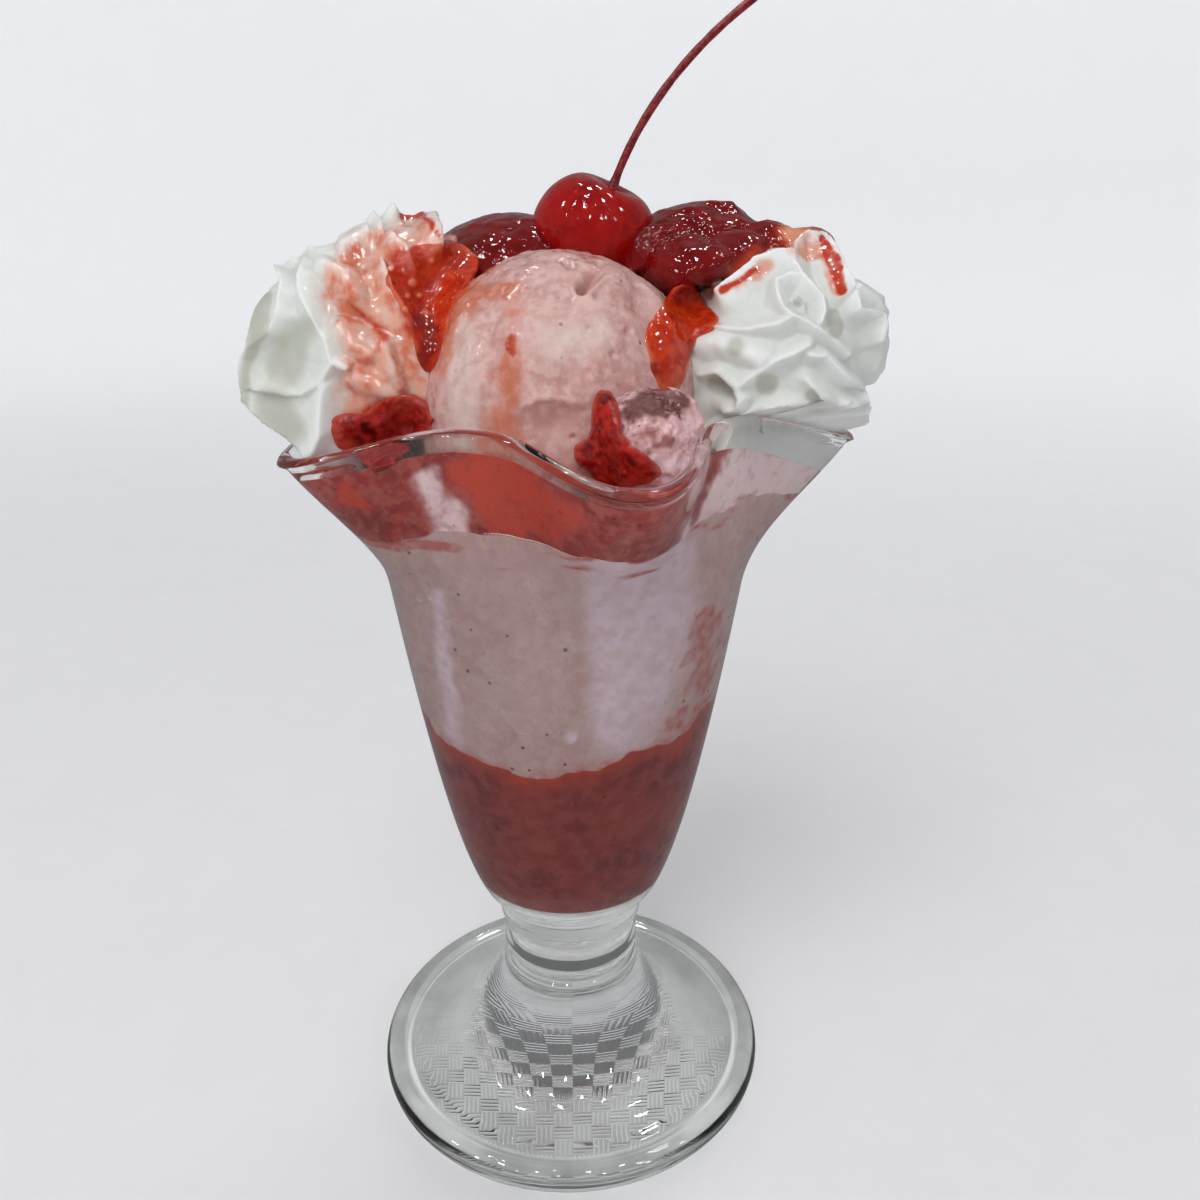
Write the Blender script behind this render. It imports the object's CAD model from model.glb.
"""Looks of the strawberry ice cream sundae in its waved glass dish.

Every size is in millimetres in the CAD model's frame, +Z up and -Y to the front, and is turned into
metres when a mesh is made. Angles round the dish are counted from the front towards the right. The
places of stains and runs are given in pixels of the photograph's 1200 by 1200 frame and laid on the
surface that shows there.
"""
from __future__ import annotations

import itertools
import logging
import math
from dataclasses import dataclass
from enum import Enum
from typing import Callable, Iterator, Sequence

import bpy
import numpy as np
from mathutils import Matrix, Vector
from mathutils.bvhtree import BVHTree


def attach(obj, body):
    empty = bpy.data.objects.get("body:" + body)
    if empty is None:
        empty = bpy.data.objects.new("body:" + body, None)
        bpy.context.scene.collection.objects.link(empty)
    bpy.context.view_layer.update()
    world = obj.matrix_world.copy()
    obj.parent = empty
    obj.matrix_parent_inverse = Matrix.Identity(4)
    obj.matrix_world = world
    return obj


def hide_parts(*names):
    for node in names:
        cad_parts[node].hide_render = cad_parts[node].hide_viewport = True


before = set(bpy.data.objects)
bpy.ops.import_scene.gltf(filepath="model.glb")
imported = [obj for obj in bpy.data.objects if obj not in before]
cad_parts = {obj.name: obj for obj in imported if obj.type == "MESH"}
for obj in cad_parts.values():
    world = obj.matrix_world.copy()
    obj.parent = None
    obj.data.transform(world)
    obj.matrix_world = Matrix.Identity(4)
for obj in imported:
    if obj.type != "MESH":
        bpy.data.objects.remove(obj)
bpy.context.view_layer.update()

MM = 0.001
MERGE_DISTANCE = 2e-6
HASH_AXES = np.array((127.1, 311.7, 74.7))
HASH_SCALE = 43758.5453
SEED_SHIFT = 19.37
LOG = logging.getLogger("sundae")

Place = Callable[[np.ndarray], np.ndarray]
Colour = tuple[float, float, float]


class Detail(Enum):
    """How finely a ball of food is divided."""

    FULL = 7
    SMALL = 6


def seen(red: int, green: int, blue: int) -> Colour:
    """Turns a colour as seen on a screen into the linear one that a shader takes.

    Args:
        red: Red, 0 to 255.
        green: Green, 0 to 255.
        blue: Blue, 0 to 255.

    Returns:
        The linear colour.
    """
    parts = [value / 255.0 for value in (red, green, blue)]
    return tuple(p / 12.92 if p <= 0.04045 else ((p + 0.055) / 1.055) ** 2.4 for p in parts)


def smooth_step(values: np.ndarray, low: float, high: float) -> np.ndarray:
    """Rises smoothly from 0 at low to 1 at high."""
    part = np.clip((values - low) / (high - low), 0.0, 1.0)
    return part * part * (3.0 - 2.0 * part)


def noise_field(points: np.ndarray, size: float, seed: int = 0) -> np.ndarray:
    """Smooth noise between -1 and 1.

    Args:
        points: Places, one in each row.
        size: Width of one bump in millimetres.
        seed: Chooses another pattern.

    Returns:
        One value for each place.
    """
    cell = points / size + SEED_SHIFT * seed + 0.5
    low = np.floor(cell)
    part = cell - low
    part = part * part * (3.0 - 2.0 * part)
    total = np.zeros(len(points))
    for corner in itertools.product((0.0, 1.0), repeat=3):
        step = np.array(corner)
        weight = np.prod(np.where(step > 0.5, part, 1.0 - part), axis=1)
        mixed = np.sin((low + step) @ HASH_AXES) * HASH_SCALE
        total += weight * (mixed - np.floor(mixed))
    return 2.0 * total - 1.0


def rough_field(points: np.ndarray, size: float, octaves: int = 3, seed: int = 0) -> np.ndarray:
    """Noise with finer bumps on its bumps, each half as wide and half as high."""
    total = np.zeros(len(points))
    for step in range(octaves):
        total += noise_field(points, size / 2 ** step, seed + step) / 2 ** step
    return total


def deselect_all() -> None:
    """Leaves object mode with nothing selected."""
    if bpy.context.object and bpy.context.object.mode != "OBJECT":
        bpy.ops.object.mode_set(mode="OBJECT")
    bpy.ops.object.select_all(action="DESELECT")


def read_points(piece: bpy.types.Object) -> np.ndarray:
    """Vertices of a piece as rows of x, y and z."""
    points = np.zeros(len(piece.data.vertices) * 3)
    piece.data.vertices.foreach_get("co", points)
    return points.reshape(-1, 3)


def write_points(piece: bpy.types.Object, points: np.ndarray) -> None:
    """Moves the vertices of a piece."""
    piece.data.vertices.foreach_set("co", points.astype(np.float32).ravel())
    piece.data.update()


def close_skin(piece: bpy.types.Object) -> None:
    """Merges the seam and the poles of a rolled skin and turns its faces outwards."""
    bpy.ops.object.mode_set(mode="EDIT")
    bpy.ops.mesh.select_all(action="SELECT")
    bpy.ops.mesh.remove_doubles(threshold=MERGE_DISTANCE)
    bpy.ops.mesh.normals_make_consistent(inside=False)
    bpy.ops.object.mode_set(mode="OBJECT")
    bpy.ops.object.shade_smooth()
    piece.data.update()


def roll_skin(name: str, columns: int, rows: int, place: Callable) -> bpy.types.Object:
    """Rolls a flat grid round the upright axis into a closed skin.

    Args:
        name: Name of the piece.
        columns: Faces round the axis.
        rows: Faces along the outline.
        place: Takes the angle and the share of the outline and gives the points in millimetres.

    Returns:
        The new piece.
    """
    deselect_all()
    bpy.ops.mesh.primitive_grid_add(x_subdivisions=columns, y_subdivisions=rows, size=1.0)
    piece = bpy.context.object
    piece.name = piece.data.name = name
    flat = read_points(piece)
    angle = (flat[:, 0] + 0.5) * 2.0 * math.pi
    write_points(piece, place(angle, flat[:, 1] + 0.5) * MM)
    close_skin(piece)
    return piece


def puff_ball(name: str, detail: Detail, place: Place) -> bpy.types.Object:
    """Pushes a ball of many small faces out into a shape.

    Args:
        name: Name of the piece.
        detail: How finely the ball is divided.
        place: Takes the unit directions and gives the points in millimetres.

    Returns:
        The new piece.
    """
    deselect_all()
    bpy.ops.mesh.primitive_ico_sphere_add(subdivisions=detail.value, radius=1.0)
    piece = bpy.context.object
    piece.name = piece.data.name = name
    ways = read_points(piece)
    ways /= np.linalg.norm(ways, axis=1)[:, None]
    write_points(piece, place(ways) * MM)
    bpy.ops.object.shade_smooth()
    return piece


def paint(piece: bpy.types.Object, name: str, values: np.ndarray) -> None:
    """Stores one number at each vertex, for the piece's material to read."""
    layer = piece.data.attributes.new(name, "FLOAT", "POINT")
    layer.data.foreach_set("value", np.clip(values, 0.0, 1.0).astype(np.float32))


def hand_over(piece: bpy.types.Object, node: str, material: bpy.types.Material) -> None:
    """Dresses a piece and tells the frame what it stands for.

    Args:
        piece: The finished piece.
        node: The CAD node that it replaces.
        material: Its finish.
    """
    piece.data.materials.clear()
    piece.data.materials.append(material)
    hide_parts(node)
    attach(piece, "root")
    LOG.info("%s: %d faces", piece.name, len(piece.data.polygons))


@dataclass(frozen=True)
class PhotoView:
    """The photograph's camera: where it stood and how it looked."""

    place: tuple[float, float, float] = (0.0, -172.3, 163.5)
    yaw: float = math.radians(2.03)
    pitch: float = math.radians(19.73)
    focal: float = 988.0
    size: float = 1200.0
    sensor: float = 36.0

    def axes(self) -> tuple[np.ndarray, np.ndarray, np.ndarray]:
        """Unit vectors to the right, up and forward."""
        ahead = np.array((math.sin(self.yaw) * math.cos(self.pitch),
                          math.cos(self.yaw) * math.cos(self.pitch), -math.sin(self.pitch)))
        right = np.array((math.cos(self.yaw), -math.sin(self.yaw), 0.0))
        return right, np.cross(right, ahead), ahead

    def project(self, points: np.ndarray) -> np.ndarray:
        """Pixels of the photograph's frame where points in millimetres show."""
        right, up, ahead = self.axes()
        away = points - np.array(self.place)
        depth = away @ ahead
        across = self.size / 2.0 + self.focal * (away @ right) / depth
        down = self.size / 2.0 - self.focal * (away @ up) / depth
        return np.stack([across, down], axis=1)

    def lift(self, spots: np.ndarray, depth: np.ndarray) -> np.ndarray:
        """Points in millimetres that show at pixels of the frame, at depths from the camera."""
        right, up, ahead = self.axes()
        half = self.size / 2.0
        rays = ahead + ((spots[:, :1] - half) * right + (half - spots[:, 1:]) * up) / self.focal
        return np.array(self.place) + rays * depth[:, None]

    def facing(self, piece: bpy.types.Object) -> np.ndarray:
        """How squarely each vertex of a piece faces the camera, from -1 to 1."""
        normals = np.zeros(len(piece.data.vertices) * 3)
        piece.data.vertex_normals.foreach_get("vector", normals)
        towards = np.array(self.place) - read_points(piece) / MM
        towards /= np.linalg.norm(towards, axis=1)[:, None]
        return (normals.reshape(-1, 3) * towards).sum(axis=1)

    def add_camera(self) -> None:
        """Makes the scene's camera."""
        data = bpy.data.cameras.new("photo_camera")
        data.lens = self.focal * self.sensor / self.size
        data.sensor_width = self.sensor
        data.clip_start = 0.005
        camera = bpy.data.objects.new("photo_camera", data)
        camera.location = Vector(self.place) * MM
        camera.rotation_euler = (math.pi / 2.0 - self.pitch, 0.0, -self.yaw)
        bpy.context.collection.objects.link(camera)
        bpy.context.scene.camera = camera


VIEW = PhotoView()
Knots = tuple[tuple[float, float, float], ...]


def walk_line(knots: Knots, spots: np.ndarray) -> Iterator[tuple[np.ndarray, np.ndarray]]:
    """Goes along a line of knots, part by part.

    Args:
        knots: Pixels of the frame, each with a third value.
        spots: Pixels of the vertices.

    Yields:
        The third value at each spot's nearest place on the part, and how far off that place is.
    """
    for start, end in list(zip(knots, knots[1:])) or [(knots[0], knots[0])]:
        a, b = np.array(start), np.array(end)
        run = b[:2] - a[:2]
        along = np.clip(((spots - a[:2]) @ run) / max(float(run @ run), 1e-9), 0.0, 1.0)
        away = np.linalg.norm(spots - (a[:2] + along[:, None] * run), axis=1)
        yield a[2] + (b[2] - a[2]) * along, away


@dataclass(frozen=True)
class Stroke:
    """A stain, run or hollow, as a line of a few knots in the photograph's frame.

    Each knot is a pixel's place and the stroke's half width there.
    """

    knots: Knots
    edge: float = 8.0

    def cover(self, spots: np.ndarray, ragged: np.ndarray) -> np.ndarray:
        """How far the stroke covers each spot.

        Args:
            spots: Pixels of the vertices.
            ragged: Noise in pixels that moves the stroke's edge.

        Returns:
            Values from 0 to 1.
        """
        inside = np.full(len(spots), -1e9)
        for width, away in walk_line(self.knots, spots):
            inside = np.maximum(inside, width - away)
        return smooth_step(inside + ragged, -self.edge / 2.0, self.edge / 2.0)


def stroke_mask(piece: bpy.types.Object, strokes: Sequence[Stroke], ragged: float, size: float,
                seed: int) -> np.ndarray:
    """Cover of several strokes on the side of a piece that faces the photograph's camera.

    Args:
        piece: The piece, its vertices in place.
        strokes: The strokes.
        ragged: How far their edges wander, in pixels.
        size: Width of that wandering, in millimetres.
        seed: Chooses another pattern.

    Returns:
        Values from 0 to 1.
    """
    points = read_points(piece) / MM
    spots = VIEW.project(points)
    wander = ragged * rough_field(points, size, 3, seed)
    mask = np.zeros(len(points))
    for stroke in strokes:
        mask = np.maximum(mask, stroke.cover(spots, wander))
    return mask * smooth_step(VIEW.facing(piece), -0.25, 0.05)


@dataclass(frozen=True)
class Crest:
    """A crest or a groove, as a line of a few knots in the photograph's frame.

    Each knot is a pixel's place and the height there in millimetres, below 0 for a groove.
    """

    knots: Knots
    spread: float = 14.0
    power: float = 1.0

    def height(self, spots: np.ndarray, wander: np.ndarray) -> np.ndarray:
        """Height of the crest at each spot.

        Args:
            spots: Pixels of the vertices.
            wander: Offsets in pixels that make the line uneven.

        Returns:
            Heights in millimetres.
        """
        best = np.zeros(len(spots))
        for full, away in walk_line(self.knots, spots + wander):
            here = full * np.exp(-((away / self.spread) ** self.power))
            best = np.where(np.abs(here) > np.abs(best), here, best)
        return best


def dots(*spots: tuple[float, float, float, float]) -> tuple[Crest, ...]:
    """Small round knobs and dents: each a pixel's place, a height in millimetres and a spread."""
    return tuple(Crest(((across, down, height),), spread, 2.0) for across, down, height, spread in spots)


def carve(piece: bpy.types.Object, middle: tuple[float, float, float], crests: Sequence[Crest],
          seed: int, waver: float = 1.5) -> np.ndarray:
    """Raises crests and sinks grooves on the side of a piece that the photograph shows.

    Args:
        piece: The piece, its vertices in place.
        middle: Its middle, from which the skin is moved.
        crests: The crests and grooves.
        seed: Chooses the pattern by which the lines waver.
        waver: How far they waver, in pixels.

    Returns:
        The height that each vertex was moved, in millimetres.
    """
    points = read_points(piece) / MM
    spots = VIEW.project(points)
    wander = waver * np.stack([rough_field(points, 5.0, 2, seed + shift) for shift in (0, 5)], axis=1)
    up, down = np.zeros(len(points)), np.zeros(len(points))
    for crest in crests:
        here = crest.height(spots, wander)
        up, down = np.maximum(up, here), np.minimum(down, here)
    shift = (up + down) * smooth_step(VIEW.facing(piece), -0.7, -0.2)
    out = points - np.array(middle)
    out /= np.linalg.norm(out, axis=1)[:, None]
    write_points(piece, (points + out * shift[:, None]) * MM)
    return shift


class Painter:
    """Adds nodes to one material and links them."""

    def __init__(self, name: str) -> None:
        """Starts a material with its Principled shader.

        Args:
            name: Name of the material.
        """
        self.material = bpy.data.materials.new(name)
        self.material.use_nodes = True
        self.tree = self.material.node_tree
        self.shader = self.tree.nodes["Principled BSDF"]
        self.place = self.tree.nodes.new("ShaderNodeTexCoord").outputs["Object"]

    def add(self, kind: str, inputs: dict | None = None, **settings) -> bpy.types.Node:
        """Adds a node.

        Args:
            kind: The node's type.
            inputs: Values or sockets by socket name or index.
            settings: The node's own properties.

        Returns:
            The node.
        """
        node = self.tree.nodes.new(kind)
        for key, value in settings.items():
            setattr(node, key, value)
        for key, value in (inputs or {}).items():
            self.feed(node.inputs[key], value)
        return node

    def feed(self, socket: bpy.types.NodeSocket, value) -> None:
        """Links a socket to another, or sets its value."""
        if isinstance(value, bpy.types.NodeSocket):
            self.tree.links.new(value, socket)
        elif isinstance(value, tuple) and len(value) == 3 and socket.type == "RGBA":
            socket.default_value = (*value, 1.0)
        else:
            socket.default_value = value

    def attribute(self, name: str) -> bpy.types.NodeSocket:
        """One of the piece's painted masks."""
        return self.add("ShaderNodeAttribute", attribute_name=name).outputs["Fac"]

    def noise(self, size: float, detail: float = 4.0) -> bpy.types.NodeSocket:
        """Noise with bumps of one width in millimetres."""
        return self.add("ShaderNodeTexNoise", {"Vector": self.place, "Scale": 1.0 / (size * MM),
                                               "Detail": detail, "Roughness": 0.55}).outputs["Fac"]

    def cells(self, size: float) -> bpy.types.NodeSocket:
        """Distance to the nearest of many scattered points, a width in millimetres apart."""
        inputs = {"Vector": self.place, "Scale": 1.0 / (size * MM)}
        return self.add("ShaderNodeTexVoronoi", inputs).outputs["Distance"]

    def from_middle(self) -> bpy.types.NodeSocket:
        """Distance from the middle of the dish's underside, in metres."""
        return self.add("ShaderNodeVectorMath", {0: self.place}, operation="LENGTH").outputs["Value"]

    def window(self, value, low: float, high: float, to_low: float = 0.0,
               to_high: float = 1.0) -> bpy.types.NodeSocket:
        """Turns one range of a value smoothly into another."""
        return self.add("ShaderNodeMapRange", {"Value": value, "From Min": low, "From Max": high,
                                               "To Min": to_low, "To Max": to_high},
                        interpolation_type="SMOOTHSTEP").outputs["Result"]

    def span(self, value, ends: tuple[float, float], to_low: float = 0.0,
             to_high: float = 1.0) -> bpy.types.NodeSocket:
        """Turns a stretch of a length, its ends in millimetres, smoothly into another range."""
        return self.window(value, ends[0] * MM, ends[1] * MM, to_low, to_high)

    def maths(self, operation: str, first, second=0.0) -> bpy.types.NodeSocket:
        """One sum, product or the like."""
        return self.add("ShaderNodeMath", {0: first, 1: second}, operation=operation).outputs[0]

    def mix(self, share, first, second) -> bpy.types.NodeSocket:
        """Blend of two colours."""
        return self.add("ShaderNodeMix", {0: share, 6: first, 7: second}, data_type="RGBA").outputs[2]

    def tinted(self, base, mask, low: float, high: float, tint: Colour) -> bpy.types.NodeSocket:
        """A colour with a tint over it, full where a mask is high and none where it is low."""
        return self.mix(self.window(mask, low, high), base, tint)

    def relief(self, height, depth: float, under=None) -> bpy.types.NodeSocket:
        """Normal of a relief whose full height is a depth in millimetres, laid over another."""
        inputs = {"Height": height, "Distance": depth * MM}
        if under is not None:
            inputs["Normal"] = under
        return self.add("ShaderNodeBump", inputs).outputs["Normal"]

    def set(self, **values) -> None:
        """Sets or links the shader's inputs, with _ for a space in their names."""
        for key, value in values.items():
            self.feed(self.shader.inputs[key.replace("_", " ")], value)


def build_mottle_group() -> bpy.types.NodeTree:
    """Group that breaks one colour up into patches of a lighter and a darker one.

    Returns:
        The group, with the inputs Vector, Base, Light, Dark, Patch and Speck (sizes in 1/m) and Amount,
        and the outputs Colour and Height.
    """
    tree = bpy.data.node_groups.new("mottle", "ShaderNodeTree")
    for name, kind in (("Vector", "NodeSocketVector"), ("Base", "NodeSocketColor"),
                       ("Light", "NodeSocketColor"), ("Dark", "NodeSocketColor"),
                       ("Patch", "NodeSocketFloat"), ("Speck", "NodeSocketFloat"),
                       ("Amount", "NodeSocketFloat")):
        tree.interface.new_socket(name, in_out="INPUT", socket_type=kind)
    tree.interface.new_socket("Colour", in_out="OUTPUT", socket_type="NodeSocketColor")
    tree.interface.new_socket("Height", in_out="OUTPUT", socket_type="NodeSocketFloat")
    entry = tree.nodes.new("NodeGroupInput")
    leave = tree.nodes.new("NodeGroupOutput")
    made = []
    for scale, detail in (("Patch", 5.0), ("Speck", 3.0)):
        noise = tree.nodes.new("ShaderNodeTexNoise")
        noise.inputs["Detail"].default_value = detail
        noise.inputs["Roughness"].default_value = 0.6
        tree.links.new(entry.outputs["Vector"], noise.inputs["Vector"])
        tree.links.new(entry.outputs[scale], noise.inputs["Scale"])
        spread = tree.nodes.new("ShaderNodeMapRange")
        spread.interpolation_type = "SMOOTHSTEP"
        spread.inputs["From Min"].default_value = 0.38
        spread.inputs["From Max"].default_value = 0.66
        tree.links.new(noise.outputs["Fac"], spread.inputs["Value"])
        share = tree.nodes.new("ShaderNodeMath")
        share.operation = "MULTIPLY"
        tree.links.new(spread.outputs["Result"], share.inputs[0])
        tree.links.new(entry.outputs["Amount"], share.inputs[1])
        made.append((noise, share))
    first = tree.nodes.new("ShaderNodeMix")
    second = tree.nodes.new("ShaderNodeMix")
    first.data_type = second.data_type = "RGBA"
    tree.links.new(made[0][1].outputs[0], first.inputs[0])
    tree.links.new(entry.outputs["Base"], first.inputs[6])
    tree.links.new(entry.outputs["Dark"], first.inputs[7])
    tree.links.new(made[1][1].outputs[0], second.inputs[0])
    tree.links.new(first.outputs[2], second.inputs[6])
    tree.links.new(entry.outputs["Light"], second.inputs[7])
    tree.links.new(second.outputs[2], leave.inputs["Colour"])
    tree.links.new(made[0][0].outputs["Fac"], leave.inputs["Height"])
    return tree


@dataclass(frozen=True)
class Mottle:
    """A colour broken up into lighter and darker patches."""

    base: Colour
    light: Colour
    dark: Colour
    patch: float = 6.0
    speck: float = 1.2
    amount: float = 0.6

    def place(self, painter: Painter) -> tuple[bpy.types.NodeSocket, bpy.types.NodeSocket]:
        """Puts the shared group into a material and returns its colour and height."""
        group = painter.add("ShaderNodeGroup", node_tree=bpy.data.node_groups["mottle"])
        for key, value in (("Vector", painter.place), ("Base", self.base), ("Light", self.light),
                           ("Dark", self.dark), ("Patch", 1.0 / (self.patch * MM)),
                           ("Speck", 1.0 / (self.speck * MM)), ("Amount", self.amount)):
            painter.feed(group.inputs[key], value)
        return group.outputs["Colour"], group.outputs["Height"]


@dataclass(frozen=True)
class GlassFinish:
    """Clear pressed glass, with a ribbed basket pattern pressed under the foot."""

    tint: Colour = (0.745, 0.755, 0.74)
    foot_tint: Colour = (0.42, 0.425, 0.415)
    dome_tint: Colour = (0.62, 0.62, 0.61)
    rim_tint: Colour = (0.90, 0.90, 0.89)
    shadow_tint: Colour = (0.83, 0.845, 0.84)
    dome: tuple[float, float] = (18.0, 34.0)
    stem: tuple[float, float] = (18.0, 42.0)
    rim: tuple[float, float] = (114.0, 132.0)
    frosted: tuple[float, float] = (14.0, 26.0)
    ring: float = 35.6
    underside: tuple[float, float] = (0.3, 1.0)
    cell: float = 3.6
    rib: float = 0.9
    depth: float = 0.03
    basket_edge: tuple[float, float] = (33.5, 34.5)
    basket_fade: tuple[float, float] = (-22.0, 8.0)

    def make(self) -> bpy.types.Material:
        """Builds the material."""
        p = Painter("clear_glass")
        ribs = self.basket(p)
        up = p.add("ShaderNodeSeparateXYZ", {0: p.place}).outputs["Z"]
        radius = p.from_middle()
        frost = p.maths("MULTIPLY", p.span(radius, self.frosted, 0.1, 0.0),
                        p.span(up, self.underside, 1.0, 0.0))
        p.set(Base_Color=self.tone(p, ribs, up, radius),
              Roughness=p.maths("ADD", frost, p.window(p.noise(14.0), 0.4, 0.7, 0.0, 0.02)), IOR=1.5,
              Transmission_Weight=1.0, Normal=p.relief(ribs, self.depth, p.relief(p.noise(9.0, 2.0), 0.06)))
        clear = p.add("ShaderNodeBsdfTransparent", {"Color": self.shadow_tint})
        shadow = p.add("ShaderNodeLightPath").outputs["Is Shadow Ray"]
        both = p.add("ShaderNodeMixShader", {0: shadow, 1: p.shader.outputs[0], 2: clear.outputs[0]})
        p.feed(p.tree.nodes["Material Output"].inputs["Surface"], both.outputs[0])
        return p.material

    def tone(self, p: Painter, ribs, up, radius) -> bpy.types.NodeSocket:
        """Tint of the glass: darker in the foot, pale on its ribs, its ring and the rim."""
        foot = p.mix(p.span(radius, self.dome), self.dome_tint, self.foot_tint)
        foot = p.mix(p.window(p.noise(9.0, 3.0), 0.3, 0.7, 0.0, 0.4), foot, self.tint)
        foot = p.mix(p.window(ribs, 0.1, 0.9, 0.0, 0.8), foot, self.rim_tint)
        off_ring = p.maths("ABSOLUTE", p.maths("SUBTRACT", radius, self.ring * MM))
        foot = p.mix(p.span(off_ring, (0.3, 0.9), 0.8, 0.0), foot, self.rim_tint)
        tint = p.mix(p.span(up, self.stem), foot, self.tint)
        return p.mix(p.span(up, self.rim), tint, self.rim_tint)

    def basket(self, p: Painter) -> bpy.types.NodeSocket:
        """Height of the ribs under the foot, whose direction changes from cell to cell."""
        parts = p.add("ShaderNodeSeparateXYZ", {0: p.place}).outputs
        waves, cells = [], []
        for axis in ("X", "Y"):
            turned = p.maths("MULTIPLY", parts[axis], 2.0 * math.pi / (self.rib * MM))
            waves.append(p.maths("SINE", turned))
            cells.append(p.maths("FLOOR", p.maths("DIVIDE", parts[axis], self.cell * MM)))
        odd = p.maths("PINGPONG", p.maths("ADD", cells[0], cells[1]), 1.0)
        wave = p.add("ShaderNodeMix", {0: odd, 2: waves[0], 3: waves[1]}).outputs[0]
        low = p.span(parts["Z"], (0.3, 0.8), 1.0, 0.0)
        disc = p.maths("MULTIPLY", p.span(p.from_middle(), self.basket_edge, 1.0, 0.0),
                       p.span(parts["Y"], self.basket_fade, 1.0, 0.25))
        return p.maths("MULTIPLY", wave, p.maths("MULTIPLY", low, disc))


@dataclass(frozen=True)
class IceCreamFinish:
    """Strawberry ice cream: pale, mottled, with dark seeds and redder fruit, and wet where it melts."""

    name: str
    colours: Mottle
    stain: Colour = seen(196, 108, 84)
    deep: Colour = seen(150, 40, 24)
    pale: Colour = seen(226, 212, 204)
    seeds: float = 7.0
    rough: float = 0.42
    grain: float = 0.10
    glow: float = 0.25

    def make(self) -> bpy.types.Material:
        """Builds the material. The painted masks stain, deep and pale tint it."""
        p = Painter(self.name)
        base, height = self.colours.place(p)
        base = p.mix(p.maths("MULTIPLY", p.window(p.noise(5.0, 3.0), 0.64, 0.76), 0.35), base, self.stain)
        seed = p.window(p.cells(self.seeds), 0.06, 0.10, 1.0, 0.0)
        base = p.mix(p.maths("MULTIPLY", seed, 0.75), base, seen(92, 48, 46))
        uneven = p.window(p.noise(2.2, 3.0), 0.25, 0.75, 0.6, 1.3)
        pale = p.maths("MULTIPLY", p.attribute("pale"), uneven)
        base = p.mix(pale, base, self.pale)
        stain = p.maths("MULTIPLY", p.attribute("stain"), uneven)
        base = p.tinted(base, stain, 0.0, 0.9, self.stain)
        deep = p.maths("MULTIPLY", p.attribute("deep"), uneven)
        base = p.tinted(base, deep, 0.05, 0.8, self.deep)
        wet = p.maths("MAXIMUM", p.window(p.noise(4.0, 2.0), 0.52, 0.66), stain)
        bump = p.relief(p.noise(0.7, 3.0), self.grain, p.relief(height, 0.12))
        p.set(Base_Color=base, Roughness=p.window(wet, 0.0, 1.0, self.rough, 0.14),
              Subsurface_Weight=self.glow, Subsurface_Radius=(1.0, 0.45, 0.35), Subsurface_Scale=0.002,
              Coat_Weight=p.window(wet, 0.1, 0.9, 0.0, 0.4), Coat_Roughness=0.06, Normal=bump)
        return p.material


@dataclass(frozen=True)
class SauceFinish:
    """Strawberry sauce: glossy, with crushed fruit and seeds in it."""

    name: str
    colours: Mottle
    thin: Colour = seen(196, 62, 26)
    pale: Colour = seen(222, 150, 120)
    rough: float = 0.10
    lumps: float = 0.35
    glow: float = 0.15
    bubbles: float = 0.3

    def make(self) -> bpy.types.Material:
        """Builds the material. The painted masks stain and pale lighten it where it runs thin."""
        p = Painter(self.name)
        base, _ = self.colours.place(p)
        uneven = p.window(p.noise(2.2, 3.0), 0.25, 0.75, 0.6, 1.3)
        for mask, tint in (("stain", self.thin), ("pale", self.pale)):
            base = p.tinted(base, p.maths("MULTIPLY", p.attribute(mask), uneven), 0.0, 0.9, tint)
        seed = p.window(p.cells(4.0), 0.06, 0.10, 1.0, 0.0)
        base = p.mix(p.maths("MULTIPLY", seed, 0.6), base, seen(60, 10, 12))
        bubble = p.window(p.cells(2.8), 0.0, 0.22, 1.0, 0.0)
        bump = p.relief(bubble, self.bubbles, p.relief(p.noise(2.6, 2.0), self.lumps))
        p.set(Base_Color=base, Roughness=p.window(p.noise(3.0), 0.3, 0.7, self.rough, self.rough + 0.05),
              Specular_IOR_Level=0.3,
              Subsurface_Weight=self.glow, Subsurface_Radius=(1.0, 0.2, 0.1), Subsurface_Scale=0.002,
              Normal=bump)
        return p.material


@dataclass(frozen=True)
class CreamFinish:
    """Whipped cream: off-white and soft, with a thin syrup stain where it is painted."""

    name: str = "whipped_cream"
    white: Colour = seen(228, 230, 228)
    shade: Colour = seen(168, 170, 153)
    stain: Colour = seen(204, 112, 82)
    peach: Colour = seen(222, 164, 142)
    deep: Colour = seen(190, 54, 24)

    def make(self) -> bpy.types.Material:
        """Builds the material. The painted masks are fold, stain and deep."""
        p = Painter(self.name)
        base, height = Mottle(self.white, seen(234, 236, 236), seen(216, 218, 212), 9.0, 2.0,
                              0.5).place(p)
        base = p.mix(p.attribute("fold"), base, self.shade)
        uneven = p.window(p.noise(2.8, 3.0), 0.3, 0.7, 0.6, 1.2)
        stain = p.maths("MULTIPLY", p.attribute("stain"), uneven)
        tone = p.mix(p.window(p.noise(3.6, 3.0), 0.42, 0.64), self.peach, self.stain)
        base = p.tinted(base, stain, 0.0, 1.0, tone)
        deep = p.maths("MULTIPLY", p.attribute("deep"), uneven)
        base = p.tinted(base, deep, 0.05, 0.8, self.deep)
        wet = p.maths("MAXIMUM", stain, deep)
        bump = p.relief(p.noise(0.8, 3.0), 0.05, p.relief(height, 0.2))
        p.set(Base_Color=base, Roughness=p.window(wet, 0.0, 1.0, 0.42, 0.12),
              Subsurface_Weight=0.3, Subsurface_Radius=(1.0, 0.9, 0.7), Subsurface_Scale=0.002,
              Coat_Weight=p.window(wet, 0.1, 0.5, 0.05, 0.5), Coat_Roughness=0.05, Normal=bump)
        return p.material


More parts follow.
